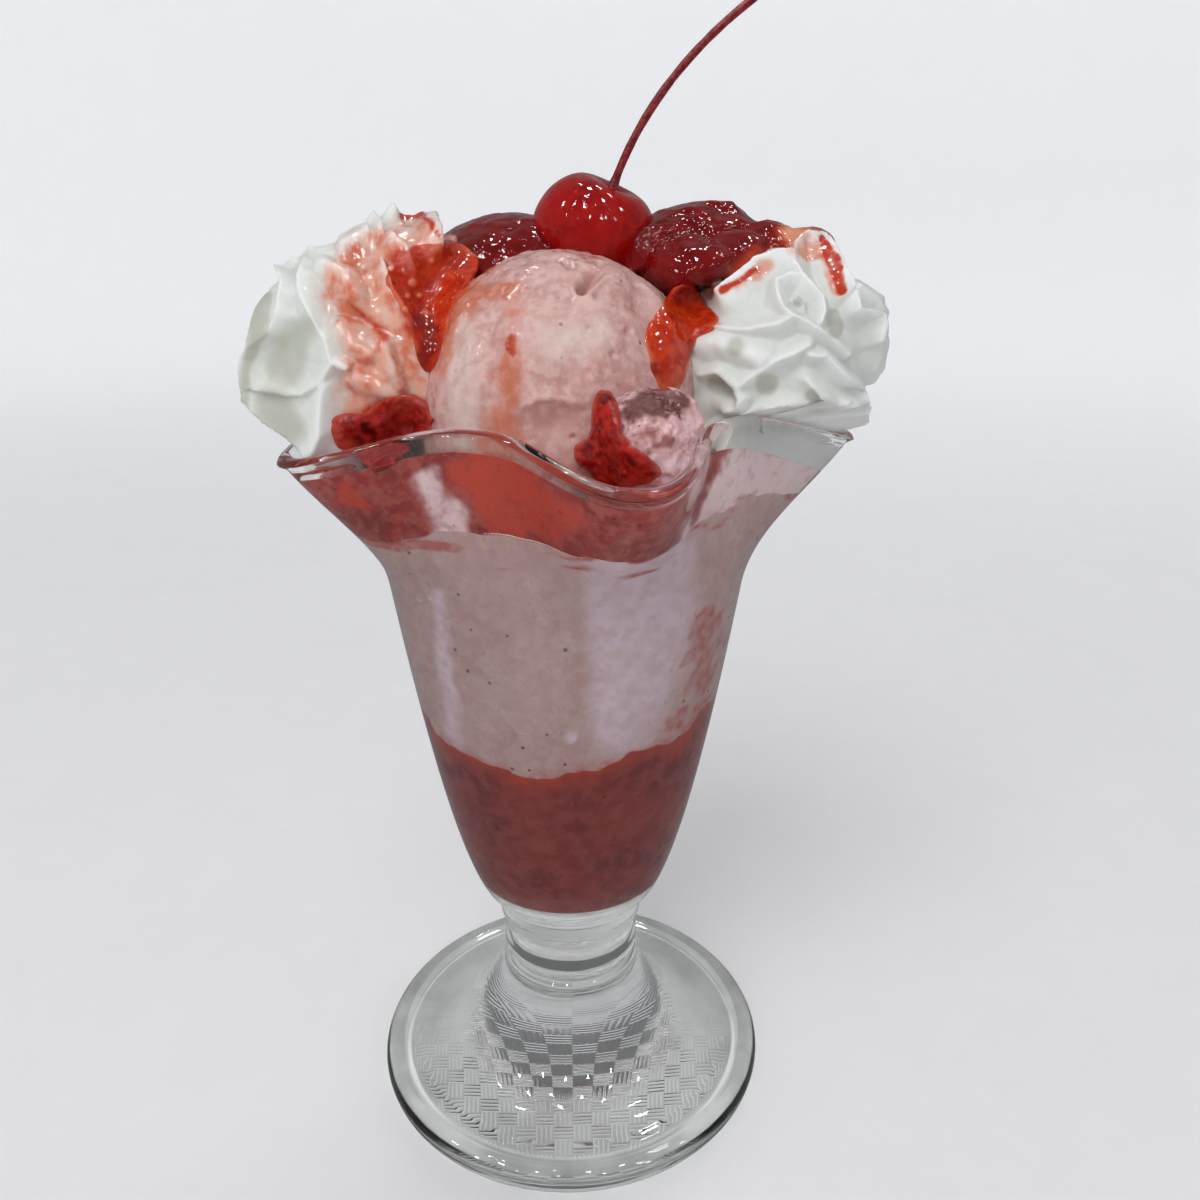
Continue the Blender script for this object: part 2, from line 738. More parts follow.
@dataclass(frozen=True)
class SkinFinish:
    """The cherry's candied skin, or its stalk."""

    name: str
    colours: Mottle
    rough: float = 0.03
    dents: float = 0.14
    glow: float = 0.12

    def make(self) -> bpy.types.Material:
        """Builds the material."""
        p = Painter(self.name)
        base, height = self.colours.place(p)
        bump = p.relief(p.noise(2.2, 2.0), self.dents, p.relief(height, self.dents))
        p.set(Base_Color=base, Roughness=p.window(p.noise(2.0), 0.3, 0.7, self.rough, self.rough + 0.04),
              Specular_IOR_Level=0.35,
              Subsurface_Weight=self.glow, Subsurface_Radius=(1.0, 0.15, 0.1), Subsurface_Scale=0.003,
              Normal=bump)
        return p.material


@dataclass(frozen=True)
class Dish:
    """The pressed glass: a domed foot, a ringed stem and a bowl that flares into five waves."""

    foot_radius: float = 39.7
    foot_edge: float = 2.7
    foot_ring: float = 35.5
    groove: float = 0.8
    stem_radius: float = 13.2
    stem_bottom: float = 23.4
    stem_top: float = 36.0
    stem_waist: float = 0.7
    bowl_low: float = 41.0
    bowl_low_radius: float = 15.5
    bowl_top: float = 108.0
    bowl_top_radius: float = 31.9
    bowl_power: float = 0.6
    flare_slope: float = 0.2
    flare_end: float = 0.89
    wall: float = 2.6
    wall_rim: float = 3.3
    lip: float = 1.5
    floor: float = 41.3
    waves: int = 5
    wave_turn: float = math.radians(12.4)
    wave_sharp: float = 0.19
    rim: float = 41.1
    rim_flare: float = 7.21
    rim_front: float = 48.45
    rim_back: float = 45.45
    rim_top: float = 136.75
    rim_dip: float = 2.55
    disc_drop: float = 0.4
    dome_reach: float = 0.8
    dome_rise: float = 2.4
    flare: float = 0.94
    floor_level: float = 0.08
    spans: tuple[float, ...] = (0.07, 0.05, 0.02, 0.14, 0.13, 0.16, 0.12, 0.06, 0.10, 0.12, 0.03)
    columns: int = 300
    rows: int = 260

    def rim_wave(self, angle: np.ndarray) -> np.ndarray:
        """The rim's wave: largest where the rim flares out and dips."""
        turn = self.waves * (angle - self.wave_turn)
        return np.cos(turn) + self.wave_sharp * np.cos(2.0 * turn)

    def rim_radius(self, angle: np.ndarray) -> np.ndarray:
        """Outer radius of the rim, a little flattened at the very front and back."""
        radius = self.rim + self.rim_flare * self.rim_wave(angle)
        front = self.rim_front / np.maximum(np.cos(angle), 0.5)
        back = self.rim_back / np.maximum(-np.cos(angle), 0.5)
        return np.minimum(radius, np.minimum(front, back))

    def rim_height(self, angle: np.ndarray) -> np.ndarray:
        """Height of the rim's top."""
        return self.rim_top - self.rim_dip * self.rim_wave(angle)

    def height(self, level: np.ndarray, angle: np.ndarray) -> np.ndarray:
        """Height at a wall level: 0 at the bowl's bottom, 1 where the flare begins, 2 at the rim."""
        low = self.bowl_low + level * (self.bowl_top - self.bowl_low)
        high = self.bowl_top + (level - 1.0) * (self.rim_height(angle) - self.bowl_top)
        return np.where(level <= 1.0, low, high)

    def outside(self, level: np.ndarray, angle: np.ndarray) -> np.ndarray:
        """Outer radius at a wall level."""
        part = np.clip(level - 1.0, 0.0, 1.1)
        body = self.bowl_low_radius + (self.bowl_top_radius - self.bowl_low_radius) * np.clip(
            level, 0.0, 1.0) ** self.bowl_power
        rise = self.rim_height(angle) - self.bowl_top
        spread = self.rim_radius(angle) - self.bowl_top_radius
        start = (part ** 3 - 2.0 * part ** 2 + part) * rise * self.flare_slope
        middle = (3.0 * part ** 2 - 2.0 * part ** 3) * spread
        end = (part ** 3 - part ** 2) * spread * self.flare_end
        return body + start + middle + end

    def inside(self, level: np.ndarray, angle: np.ndarray) -> np.ndarray:
        """Inner radius at a wall level."""
        return self.outside(level, angle) - self.wall - (self.wall_rim - self.wall) * np.clip(
            level - 1.0, 0.0, 1.0)

    def outline(self) -> list[tuple[Callable, Callable]]:
        """The outline as pieces, each a radius and a height by share and angle."""
        edge, rise = self.foot_edge, 2.0 * self.foot_edge - self.disc_drop
        flat = self.foot_radius - edge
        flare, low_level = self.flare, self.floor_level
        rings = np.array([(self.stem_bottom, self.stem_radius + 0.6),
                          (self.stem_bottom + 1.0, self.stem_radius + 0.5),
                          (self.stem_bottom + 2.6, self.stem_radius - self.stem_waist),
                          (self.stem_top - 8.0, self.stem_radius + 0.5),
                          (self.stem_top - 3.5, self.stem_radius - 0.5),
                          (self.stem_top, self.stem_radius + 1.1),
                          (self.bowl_low, self.bowl_low_radius)])
        half = self.wall_rim / 2.0
        dome_end = rings[0, 1]
        low_height = self.bowl_low + low_level * (self.bowl_top - self.bowl_low)

        def ditch(t: np.ndarray) -> np.ndarray:
            off = t ** self.dome_reach * (self.foot_ring - self.stem_radius) - 1.4
            return self.groove * np.exp(-((off / 0.8) ** 2))

        def stem_height(t: np.ndarray, a: np.ndarray) -> np.ndarray:
            return rings[0, 0] + t * (rings[-1, 0] - rings[0, 0])

        def stem_radius(t: np.ndarray, a: np.ndarray) -> np.ndarray:
            heights = stem_height(t, a)
            low = np.clip(np.searchsorted(rings[:, 0], heights, "right") - 1, 0, len(rings) - 2)
            part = (heights - rings[low, 0]) / (rings[low + 1, 0] - rings[low, 0])
            eased = part * part * (3.0 - 2.0 * part)
            return rings[low, 1] + (rings[low + 1, 1] - rings[low, 1]) * eased

        return [
            (lambda t, a: flat * t, lambda t, a: 0.0 * t),
            (lambda t, a: flat + edge * np.cos((t - 0.5) * math.pi),
             lambda t, a: edge + edge * np.sin((t - 0.5) * math.pi)),
            (lambda t, a: flat + (self.foot_ring - flat) * t,
             lambda t, a: 2.0 * edge - self.disc_drop * t),
            (lambda t, a: self.foot_ring + (dome_end - self.foot_ring) * t ** self.dome_reach,
             lambda t, a: rise + (self.stem_bottom - rise) * t ** self.dome_rise - ditch(t)),
            (stem_radius, stem_height),
            (lambda t, a: self.outside(t, a), lambda t, a: self.height(t, a)),
            (lambda t, a: self.outside(1.0 + flare * t, a), lambda t, a: self.height(1.0 + flare * t, a)),
            (lambda t, a: self.rim_radius(a) - half + half * np.cos(t * math.pi),
             lambda t, a: self.rim_height(a) - self.lip + self.lip * np.sin(t * math.pi)),
            (lambda t, a: self.inside(1.0 + flare * (1.0 - t), a),
             lambda t, a: self.height(1.0 + flare * (1.0 - t), a)),
            (lambda t, a: self.inside(1.0 - (1.0 - low_level) * t, a),
             lambda t, a: self.height(1.0 - (1.0 - low_level) * t, a)),
            (lambda t, a: self.inside(low_level + 0.0 * t, a) * np.cos(t * math.pi / 2.0),
             lambda t, a: low_height + (self.floor - low_height) * np.sin(t * math.pi / 2.0)),
        ]

    def place(self, angle: np.ndarray, share: np.ndarray) -> np.ndarray:
        """Points of the glass's skin."""
        parts = self.outline()
        ends = np.concatenate([[0.0], np.cumsum(np.array(self.spans) / sum(self.spans))])
        radius, height = np.zeros_like(share), np.zeros_like(share)
        for index, (radius_of, height_of) in enumerate(parts):
            last = index == len(parts) - 1
            here = (share >= ends[index]) & ((share < ends[index + 1]) | last)
            part = np.clip((share[here] - ends[index]) / (ends[index + 1] - ends[index]), 0.0, 1.0)
            radius[here] = radius_of(part, angle[here])
            height[here] = height_of(part, angle[here])
        return np.stack([radius * np.sin(angle), -radius * np.cos(angle), height], axis=1)

    def build(self) -> None:
        """Makes the glass and dresses it."""
        piece = roll_skin("glass_dish", self.columns, self.rows, self.place)
        hand_over(piece, "glass", GlassFinish().make())


def keep_inside(dish: Dish, points: np.ndarray, bite: float = 0.25) -> np.ndarray:
    """Draws food that would stick out through the bowl back to just inside its wall.

    Args:
        dish: The glass.
        points: Places in millimetres.
        bite: How far the food reaches into the wall.

    Returns:
        The places drawn in.
    """
    angle = np.arctan2(points[:, 0], -points[:, 1])
    radius = np.hypot(points[:, 0], points[:, 1])
    top = dish.rim_height(angle)
    level = 1.0 + (points[:, 2] - dish.bowl_top) / (top - dish.bowl_top)
    wall = dish.inside(np.clip(level, 1.0, 2.0), angle) + bite
    free = 14.0 * smooth_step(points[:, 2] - top, -1.0, 4.5)
    share = np.minimum(1.0, (wall + free) / np.maximum(radius, 1e-6))
    drawn = points.copy()
    drawn[:, :2] *= share[:, None]
    return drawn


@dataclass(frozen=True)
class Filling:
    """The three layers that fill the bowl, each reaching just into the glass."""

    dish: Dish
    base_top: float = 86.0
    base_sag: float = 6.2
    fill_middle: float = 122.0
    pool_middle: float = 127.0
    fill_top: float = 1.50
    pool_top: float = 1.89
    right: float = math.radians(95.0)
    right_spread: float = math.radians(45.0)
    bite: float = 0.25
    side_from: float = 0.2
    side_to: float = 0.7
    columns: int = 320
    rows: int = 220

    @staticmethod
    def bump(angle: np.ndarray, middle: float, spread: float) -> np.ndarray:
        """Smooth hump of height 1 round the dish."""
        away = np.arctan2(np.sin(angle - middle), np.cos(angle - middle))
        return np.exp(-((away / spread) ** 2))

    @staticmethod
    def uneven(angle: np.ndarray, size: float, seed: int) -> np.ndarray:
        """Noise round the dish."""
        ring = np.stack([30.0 * np.sin(angle), 30.0 * np.cos(angle), 0.0 * angle], axis=1)
        return rough_field(ring, size, 4, seed)

    def base_level(self, angle: np.ndarray) -> np.ndarray:
        """Wall level of the lower sauce's top."""
        height = self.base_top - self.base_sag * self.bump(angle, math.radians(3.0), math.radians(54.0))
        height = height + 2.0 * np.sin(angle) + 0.7 * np.sin(4.0 * angle + 0.6) + 0.5 * np.sin(7.0 * angle)
        height = height + 1.5 * self.uneven(angle, 6.0, 3)
        return (height - self.dish.bowl_low) / (self.dish.bowl_top - self.dish.bowl_low)

    def fill_level(self, angle: np.ndarray) -> np.ndarray:
        """Wall level of the packed ice cream's top."""
        wave = 0.015 * np.sin(3.0 * angle + 1.0) + 0.035 * self.uneven(angle, 7.0, 5)
        return self.fill_top + 0.16 * self.bump(angle, self.right, self.right_spread) + wave

    def pool_level(self, angle: np.ndarray) -> np.ndarray:
        """Wall level of the upper sauce's top."""
        return self.pool_top - 0.11 * self.bump(angle, self.right, self.right_spread)

    def layer(self, name: str, low: Callable, high: Callable, low_middle: float, high_middle: float,
              ripple: float) -> bpy.types.Object:
        """One layer: an underside, a side against the glass and a top.

        Args:
            name: Name of the piece.
            low: Wall level of its underside by angle.
            high: Wall level of its top by angle.
            low_middle: Height of the underside's middle.
            high_middle: Height of the top's middle.
            ripple: Height of the top's relief.

        Returns:
            The piece.
        """
        dish = self.dish

        def place(angle: np.ndarray, share: np.ndarray) -> np.ndarray:
            down, up = low(angle), high(angle)
            side = np.clip((share - self.side_from) / (self.side_to - self.side_from), 0.0, 1.0)
            level = down + (up - down) * side
            radius = dish.inside(level, angle) + self.bite
            height = dish.height(level, angle)
            under = np.clip(share / self.side_from, 0.0, 1.0)
            over = np.clip((1.0 - share) / (1.0 - self.side_to), 0.0, 1.0)
            below, above = share < self.side_from, share > self.side_to
            height = np.where(below, low_middle + (height - low_middle) * under ** 2, height)
            height = np.where(above, high_middle + (height - high_middle) * over ** 2, height)
            radius = radius * np.where(below, under, np.where(above, over, 1.0))
            points = np.stack([radius * np.sin(angle), -radius * np.cos(angle), height], axis=1)
            rises = smooth_step(share, self.side_to, self.side_to + 0.04)
            rises = rises * smooth_step(1.0 - share, 0.0, 0.05)
            points[:, 2] += ripple * rises * rough_field(points, 7.0, 3, 11)
            return points

        return roll_skin(name, self.columns, self.rows, place)

    def build(self) -> None:
        """Makes the lower sauce, the packed ice cream and the upper sauce."""
        self.build_base()
        self.build_fill()
        self.build_pool()

    def build_base(self) -> None:
        """Makes the dark sauce in the bottom, orange-red where it meets the ice cream."""
        dish = self.dish
        base = self.layer("lower_sauce", lambda angle: 0.08 + 0.0 * angle, self.base_level,
                          dish.floor - 0.1, self.base_top - 2.0, 0.3)
        points = read_points(base) / MM
        angle = np.arctan2(points[:, 0], -points[:, 1])
        below = dish.height(self.base_level(angle), angle) - points[:, 2]
        ragged = 2.0 * rough_field(points, 4.0, 3, 21)
        paint(base, "stain", 0.75 * smooth_step(-below + ragged, -6.0, 1.0))
        paint(base, "pale", 0.35 * smooth_step(rough_field(points, 4.5, 3, 25), 0.35, 1.0))
        hand_over(base, "sauce_base", SauceFinish(
            "lower_sauce", Mottle(seen(146, 54, 48), seen(162, 76, 72), seen(108, 32, 36), 9.0, 3.2, 0.7),
            seen(188, 66, 44), seen(164, 92, 84), 0.3, 0.1, 0.0, 0.0).make())

    def build_fill(self) -> None:
        """Makes the packed ice cream, reddened near the sauces and in a patch at the right."""
        dish = self.dish
        fill = self.layer("packed_ice_cream", lambda angle: self.base_level(angle) - 0.01,
                          self.fill_level, self.base_top - 2.3, self.fill_middle, 0.4)
        points = read_points(fill) / MM
        angle = np.arctan2(points[:, 0], -points[:, 1])
        over = points[:, 2] - dish.height(self.base_level(angle), angle)
        under = dish.height(self.fill_level(angle), angle) - points[:, 2]
        near = 0.5 * smooth_step(-over + 1.5 * rough_field(points, 5.0, 3, 22), -3.0, 1.0)
        runs = rough_field(points * np.array((0.6, 0.6, 3.0)), 6.0, 3, 23)
        near = np.maximum(near, 0.7 * smooth_step(-under + 6.0 * runs, -1.5, 1.5))
        patches = (Stroke(((700, 610, 8), (694, 650, 14), (688, 690, 6)), 14.0),
                   Stroke(((668, 722, 6), (700, 700, 5)), 10.0))
        near = np.maximum(near, 0.6 * stroke_mask(fill, patches, 14.0, 2.5, 24))
        paint(fill, "stain", near)
        light = (Stroke(((640, 560, 52), (636, 640, 50), (620, 715, 34)), 26.0),
                 Stroke(((444, 590, 5), (450, 660, 7), (462, 745, 7)), 9.0), Stroke(((572, 733, 8),), 4.0))
        paint(fill, "pale", 0.8 * stroke_mask(fill, light, 5.0, 6.0, 25))
        paint(fill, "deep", 0.0 * near)
        hand_over(fill, "ice_cream_fill", IceCreamFinish(
            "packed_ice_cream", Mottle(seen(206, 174, 170), seen(219, 192, 191), seen(190, 150, 146),
                                       14.0, 2.5, 0.5), seen(190, 100, 92), seen(140, 48, 40),
            seen(240, 218, 230), 4.4, 0.5, glow=0.0).make())

    def build_pool(self) -> None:
        """Makes the layer under the rim: red sauce at the left, pale pink ice cream at the right."""
        pool = self.layer("upper_sauce", lambda angle: self.fill_level(angle) - 0.012, self.pool_level,
                          self.fill_middle - 0.3, self.pool_middle, 0.6)
        orange = (Stroke(((480, 470, 26), (520, 500, 40), (560, 515, 28)), 26.0),
                  Stroke(((345, 490, 10), (400, 520, 8)), 14.0), Stroke(((845, 445, 8),), 8.0))
        streak = (Stroke(((430, 480, 14), (450, 512, 22), (462, 545, 16)), 16.0),)
        white = (Stroke(((700, 500, 10), (740, 470, 34), (790, 450, 34), (830, 450, 14)), 22.0),
                 Stroke(((690, 545, 24), (735, 525, 32), (780, 488, 30)), 24.0))
        paint(pool, "stain", 0.8 * stroke_mask(pool, orange, 12.0, 4.0, 31))
        back = smooth_step(read_points(pool)[:, 1] / MM + 10.0 * rough_field(
            read_points(pool) / MM, 16.0, 3, 32), 4.0, 12.0)
        streaked = 0.7 * stroke_mask(pool, streak, 9.0, 5.0, 34)
        pale = np.maximum(0.95 * stroke_mask(pool, white, 14.0, 5.0, 33), streaked)
        paint(pool, "pale", np.maximum(pale, 0.8 * back))
        hand_over(pool, "sauce_pool", SauceFinish(
            "upper_sauce", Mottle(seen(158, 50, 44), seen(186, 96, 84), seen(120, 28, 30), 7.0, 2.0, 0.7),
            seen(198, 66, 46), seen(250, 226, 228), 0.2, 0.2, 0.0, 0.1).make())


def heap_folds(ways: np.ndarray) -> np.ndarray:
    """Crests of the folds round the back of a cream: 1 on a crest, 0 in a hollow.

    Args:
        ways: Unit directions from the cream's middle.

    Returns:
        One value for each direction.
    """
    axis = np.array((0.05, -0.97, 0.2)) / np.linalg.norm((0.05, -0.97, 0.2))
    right = np.cross(axis, (0.0, 0.0, 1.0))
    right /= np.linalg.norm(right)
    up = np.cross(right, axis)
    polar = np.arccos(np.clip(ways @ axis, -1.0, 1.0))
    round_axis = np.arctan2(ways @ right, ways @ up)
    shift = 0.5 * rough_field(ways * 10.0, 8.0, 2, 41)
    phase = 4.0 * round_axis + 0.8 * polar + shift
    return (1.0 - np.abs(np.sin(phase))) ** 1.2 * (1.0 - 0.5 * smooth_step(polar, 2.4, 3.1))


@dataclass(frozen=True)
class Heap:
    """Lump of soft food: overlapping balls blended into one skin, with folds and a relief."""

    name: str
    centre: tuple[float, float, float]
    lobes: tuple[tuple[float, float, float, float], ...]
    soft: float = 0.6
    relief: tuple[tuple[float, float, int], ...] = ()
    stretch: tuple[float, float, float] = (1.0, 1.0, 1.0)
    floor: float | None = None
    detail: Detail = Detail.FULL

    def reach(self, ways: np.ndarray) -> np.ndarray:
        """How far the heap reaches from its middle in each direction."""
        far = np.full((len(self.lobes), len(ways)), -50.0)
        for row, lobe in enumerate(self.lobes):
            shift = np.array(lobe[:3]) - np.array(self.centre)
            along = ways @ shift
            depth = lobe[3] ** 2 - shift @ shift + along ** 2
            hit = along + np.sqrt(np.maximum(depth, 0.0))
            far[row] = np.where((depth > 0.0) & (hit > 0.0), hit, -50.0)
        top = far.max(axis=0)
        return top + self.soft * np.log(np.exp((far - top) / self.soft).sum(axis=0))

    def place(self, ways: np.ndarray) -> np.ndarray:
        """Points of the heap's skin."""
        length = self.reach(ways)
        points = np.array(self.centre) + ways * length[:, None]
        for height, size, seed in self.relief:
            length = length + height * rough_field(points * np.array(self.stretch), size, 3, seed)
        if self.floor is not None:
            down = np.minimum(ways[:, 2], -1e-6)
            length = np.where(ways[:, 2] < 0.0, np.minimum(length, (self.floor - self.centre[2]) / down),
                              length)
        return np.array(self.centre) + ways * length[:, None]

    def build(self) -> bpy.types.Object:
        """Makes the heap."""
        return puff_ball(self.name, self.detail, self.place)


@dataclass(frozen=True)
class Pour:
    """Syrup or crushed fruit that lies on what is under it and fills the hollows there.

    Its edge is a ring of places in the photograph's frame, as seen from a middle one.
    """

    name: str
    middle: tuple[float, float]
    rim: tuple[tuple[float, float], ...]
    beds: tuple[str, ...]
    thick: float = 1.2
    back: float = 3.0
    passes: int = 60
    relief: tuple[tuple[float, float, int], ...] = ()
    ragged: float = 0.05
    swell: float = 1.6
    step: float = 2.0

    def edge(self, turn: np.ndarray) -> np.ndarray:
        """How many pixels the pour reaches from its middle in each direction."""
        ring = np.array(self.rim) - np.array(self.middle)
        angles = np.arctan2(ring[:, 1], ring[:, 0])
        order = np.argsort(angles)
        even = np.linspace(-math.pi, math.pi, 361)[:-1]
        reach = np.interp(even, angles[order], np.linalg.norm(ring, axis=1)[order], period=2.0 * math.pi)
        reach = sum(np.roll(reach, shift) for shift in range(-7, 8)) / 15.0
        circle = np.stack([30.0 * np.cos(even), 30.0 * np.sin(even), 0.0 * even + self.thick], axis=1)
        reach = reach * (1.0 + self.ragged * rough_field(circle, 12.0, 3, len(self.rim)))
        return np.interp(turn, even, reach, period=2.0 * math.pi)

    def bed(self) -> tuple[np.ndarray, np.ndarray, np.ndarray]:
        """Depths of what lies underneath and of the skin that fills its hollows.

        Returns:
            The grid's first pixel, the bed's depths and the skin's depths, both by row and column.
        """
        low = np.min(self.rim, axis=0) - 14.0
        high = np.max(self.rim, axis=0) + 14.0
        across = np.arange(low[0], high[0], self.step)
        down = np.arange(low[1], high[1], self.step)
        spots = np.stack(np.meshgrid(across, down), axis=-1).reshape(-1, 2)
        ahead = VIEW.axes()[2]
        rays = VIEW.lift(spots, np.ones(len(spots))) - np.array(VIEW.place)
        start = Vector(VIEW.place) * MM
        depth = np.full(len(spots), np.inf)
        graph = bpy.context.evaluated_depsgraph_get()
        for name in self.beds:
            tree = BVHTree.FromObject(bpy.data.objects[name], graph)
            for index, ray in enumerate(rays):
                hit = tree.ray_cast(start, Vector(ray))[0]
                if hit is not None:
                    depth[index] = min(depth[index], np.array(hit - start) @ ahead / MM)
        depth = np.where(np.isfinite(depth), depth, depth[np.isfinite(depth)].max())
        depth = depth.reshape(len(down), len(across))
        level = depth
        for _ in range(self.passes):
            wide = np.pad(level, 1, mode="edge")
            mean = (wide[:-2, 1:-1] + wide[2:, 1:-1] + wide[1:-1, :-2] + wide[1:-1, 2:]) / 4.0
            level = np.minimum(depth, mean)
        return low, depth, level

    def sample(self, grid: np.ndarray, low: np.ndarray, spots: np.ndarray) -> np.ndarray:
        """Reads a grid between its rows and columns."""
        cell = (spots - low) / self.step
        cell = np.clip(cell, 0.0, np.array(grid.shape[::-1]) - 1.001)
        column, row = np.floor(cell).astype(int).T
        part = cell - np.floor(cell)
        top = grid[row, column] * (1.0 - part[:, 0]) + grid[row, column + 1] * part[:, 0]
        bottom = grid[row + 1, column] * (1.0 - part[:, 0]) + grid[row + 1, column + 1] * part[:, 0]
        return top * (1.0 - part[:, 1]) + bottom * part[:, 1]

    def build(self) -> tuple[bpy.types.Object, np.ndarray]:
        """Makes the pour.

        Returns:
            The piece and, at each vertex, how deep it is over its bed in millimetres.
        """
        right, up, ahead = VIEW.axes()
        low, bed_grid, level_grid = self.bed()
        deep = {}

        def place(ways: np.ndarray) -> np.ndarray:
            front = -(ways @ ahead)
            side = np.stack([ways @ right, -(ways @ up)], axis=1)
            turn = np.arctan2(side[:, 1], side[:, 0])
            share = np.linalg.norm(side, axis=1) * self.edge(turn)
            spots = np.array(self.middle) + share[:, None] * np.stack([np.cos(turn), np.sin(turn)], axis=1)
            bed = self.sample(bed_grid, low, spots)
            level = self.sample(level_grid, low, spots)
            over = np.clip(front, 0.0, 1.0)
            thin = (1.0 - over) ** 3
            depth = level + (bed - level) * thin - self.thick * over ** self.swell + 0.35 * thin
            depth = np.where(front > 0.0, depth, bed + 0.35 - self.back * front)
            points = VIEW.lift(spots, depth)
            for height, size, seed in self.relief:
                depth = depth - height * over ** 0.5 * rough_field(points, size, 3, seed)
            deep["over"] = np.where(front > 0.0, bed - depth, 9.0)
            return VIEW.lift(spots, depth)

        return puff_ball(self.name, Detail.SMALL, place), deep["over"]


@dataclass(frozen=True)
class Scoops:
    """The bare scoop at the front, the sauced mound behind it and the small lump beside it."""

    floor: float = 124.5
    middle: tuple[float, float, float] = (-1.0, -9.0, 142.0)

    def build(self) -> None:
        """Makes and dresses the three."""
        self.build_front()
        self.build_back()
        self.build_lump()

    def build_front(self) -> None:
        """Makes the scoop: scraped straight down on its left, lumpy on its right."""
        pale = Mottle(seen(196, 149, 143), seen(213, 177, 170), seen(176, 122, 116), 8.0, 1.6, 0.65)
        front = Heap("front_scoop", self.middle,
                     ((-1.0, -9.0, 142.0, 21.0), (-2.5, -9.5, 135.0, 20.5), (-4.0, -8.0, 139.0, 20.5),
                      (1.8, -9.0, 141.5, 19.6)),
                     0.8, ((0.35, 9.0, 1), (0.12, 2.4, 2)), (1.0, 1.0, 0.45), self.floor).build()
        carve(front, self.middle, (
            Crest(((583, 287, -3.4), (590, 281, -2.8), (600, 276, -1.2)), 5.0, 2.0),
            Crest(((590, 292, 0.6), (602, 282, 1.1), (620, 280, 0.8)), 6.0, 1.3),
            Crest(((522, 405, 0.7), (538, 398, 0.9), (562, 398, 0.9), (582, 405, 0.7)), 5.0, 1.0),
            Crest(((528, 425, -0.7), (552, 428, -0.9), (575, 420, -0.7)), 18.0, 2.0),
            Crest(((640, 285, 0.6), (656, 300, 0.9), (668, 322, 1.1), (672, 335, 0.8)), 6.0, 1.2),
            Crest(((636, 300, -0.8), (650, 318, -1.0), (658, 345, -0.8)), 8.0, 2.0),
            *dots((628, 331, -0.9, 3.5), (597, 298, -0.6, 3.0), (612, 353, -0.7, 3.0),
                  (574, 438, -1.0, 4.0), (566, 262, -0.5, 4.0), (600, 265, -0.6, 4.0)),
            Crest(((455, 300, 0.5), (452, 380, 0.6), (455, 440, 0.4)), 16.0, 1.5),
            Crest(((492, 300, -0.3), (489, 360, -0.6), (486, 430, -0.6)), 12.0, 2.0),
            Crest(((612, 290, 0.5), (606, 340, 0.6), (600, 390, 0.4)), 22.0, 2.0),
        ), 61)
        points = read_points(front) / MM
        out = points - np.array(self.middle)
        out /= np.linalg.norm(out, axis=1)[:, None]
        scrape = 0.22 * rough_field(points * np.array((1.0, 1.0, 0.1)), 2.4, 3, 62)
        write_points(front, (points + out * scrape[:, None]) * MM)
        orange = (Stroke(((512, 320, 5), (508, 400, 14), (504, 440, 20)), 26.0),
                  Stroke(((478, 262, 18), (464, 292, 18), (448, 335, 12), (440, 372, 6)), 26.0),
                  Stroke(((486, 292, 6), (510, 290, 10)), 24.0),
                  Stroke(((676, 290, 8), (668, 345, 10)), 14.0))
        amber = (Stroke(((512, 336, 2), (510, 346, 6), (513, 355, 2)), 5.0),
                 Stroke(((470, 258, 9), (458, 278, 10), (446, 312, 6), (438, 345, 4)), 12.0))
        white = (Stroke(((468, 320, 8), (462, 380, 16), (470, 430, 16)), 20.0),
                 Stroke(((560, 345, 20), (600, 330, 16)), 30.0))
        paint(front, "stain", 0.8 * stroke_mask(front, orange, 10.0, 3.0, 51))
        paint(front, "deep", 0.9 * stroke_mask(front, amber, 3.0, 2.0, 54))
        paint(front, "pale", 0.7 * stroke_mask(front, white, 8.0, 4.0, 55))
        hand_over(front, "scoop_front",
                  IceCreamFinish("scooped_ice_cream", pale, seen(192, 110, 82), seen(172, 62, 20),
                                 seen(208, 188, 178), 4.0, 0.4).make())

    def build_back(self) -> None:
        """Makes the mound behind, down which the sauce has run."""
        tone = Mottle(seen(216, 172, 162), seen(228, 194, 188), seen(198, 146, 138), 8.0, 1.6, 0.6)
        back = Heap("back_mound", (8.0, 12.0, 143.0),
                    ((8.0, 12.0, 143.0, 21.2), (-3.0, 12.0, 143.0, 19.5), (19.0, 11.0, 143.5, 20.5)),
                    0.8, ((0.8, 7.0, 4), (0.3, 2.2, 5)), floor=self.floor).build()
        points = read_points(back) / MM
        runs = rough_field(points * np.array((1.0, 1.0, 0.25)), 6.0, 3, 52)
        paint(back, "stain", 0.7 * smooth_step(points[:, 2] + 9.0 * runs, 143.0, 153.0))
        paint(back, "deep", 0.9 * smooth_step(points[:, 2] + 7.0 * runs, 150.0, 156.0))
        paint(back, "pale", 0.0 * runs)
        hand_over(back, "scoop_back",
                  IceCreamFinish("hidden_ice_cream", tone, seen(214, 128, 104), seen(150, 30, 24),
                                 seeds=5.5, rough=0.4).make())

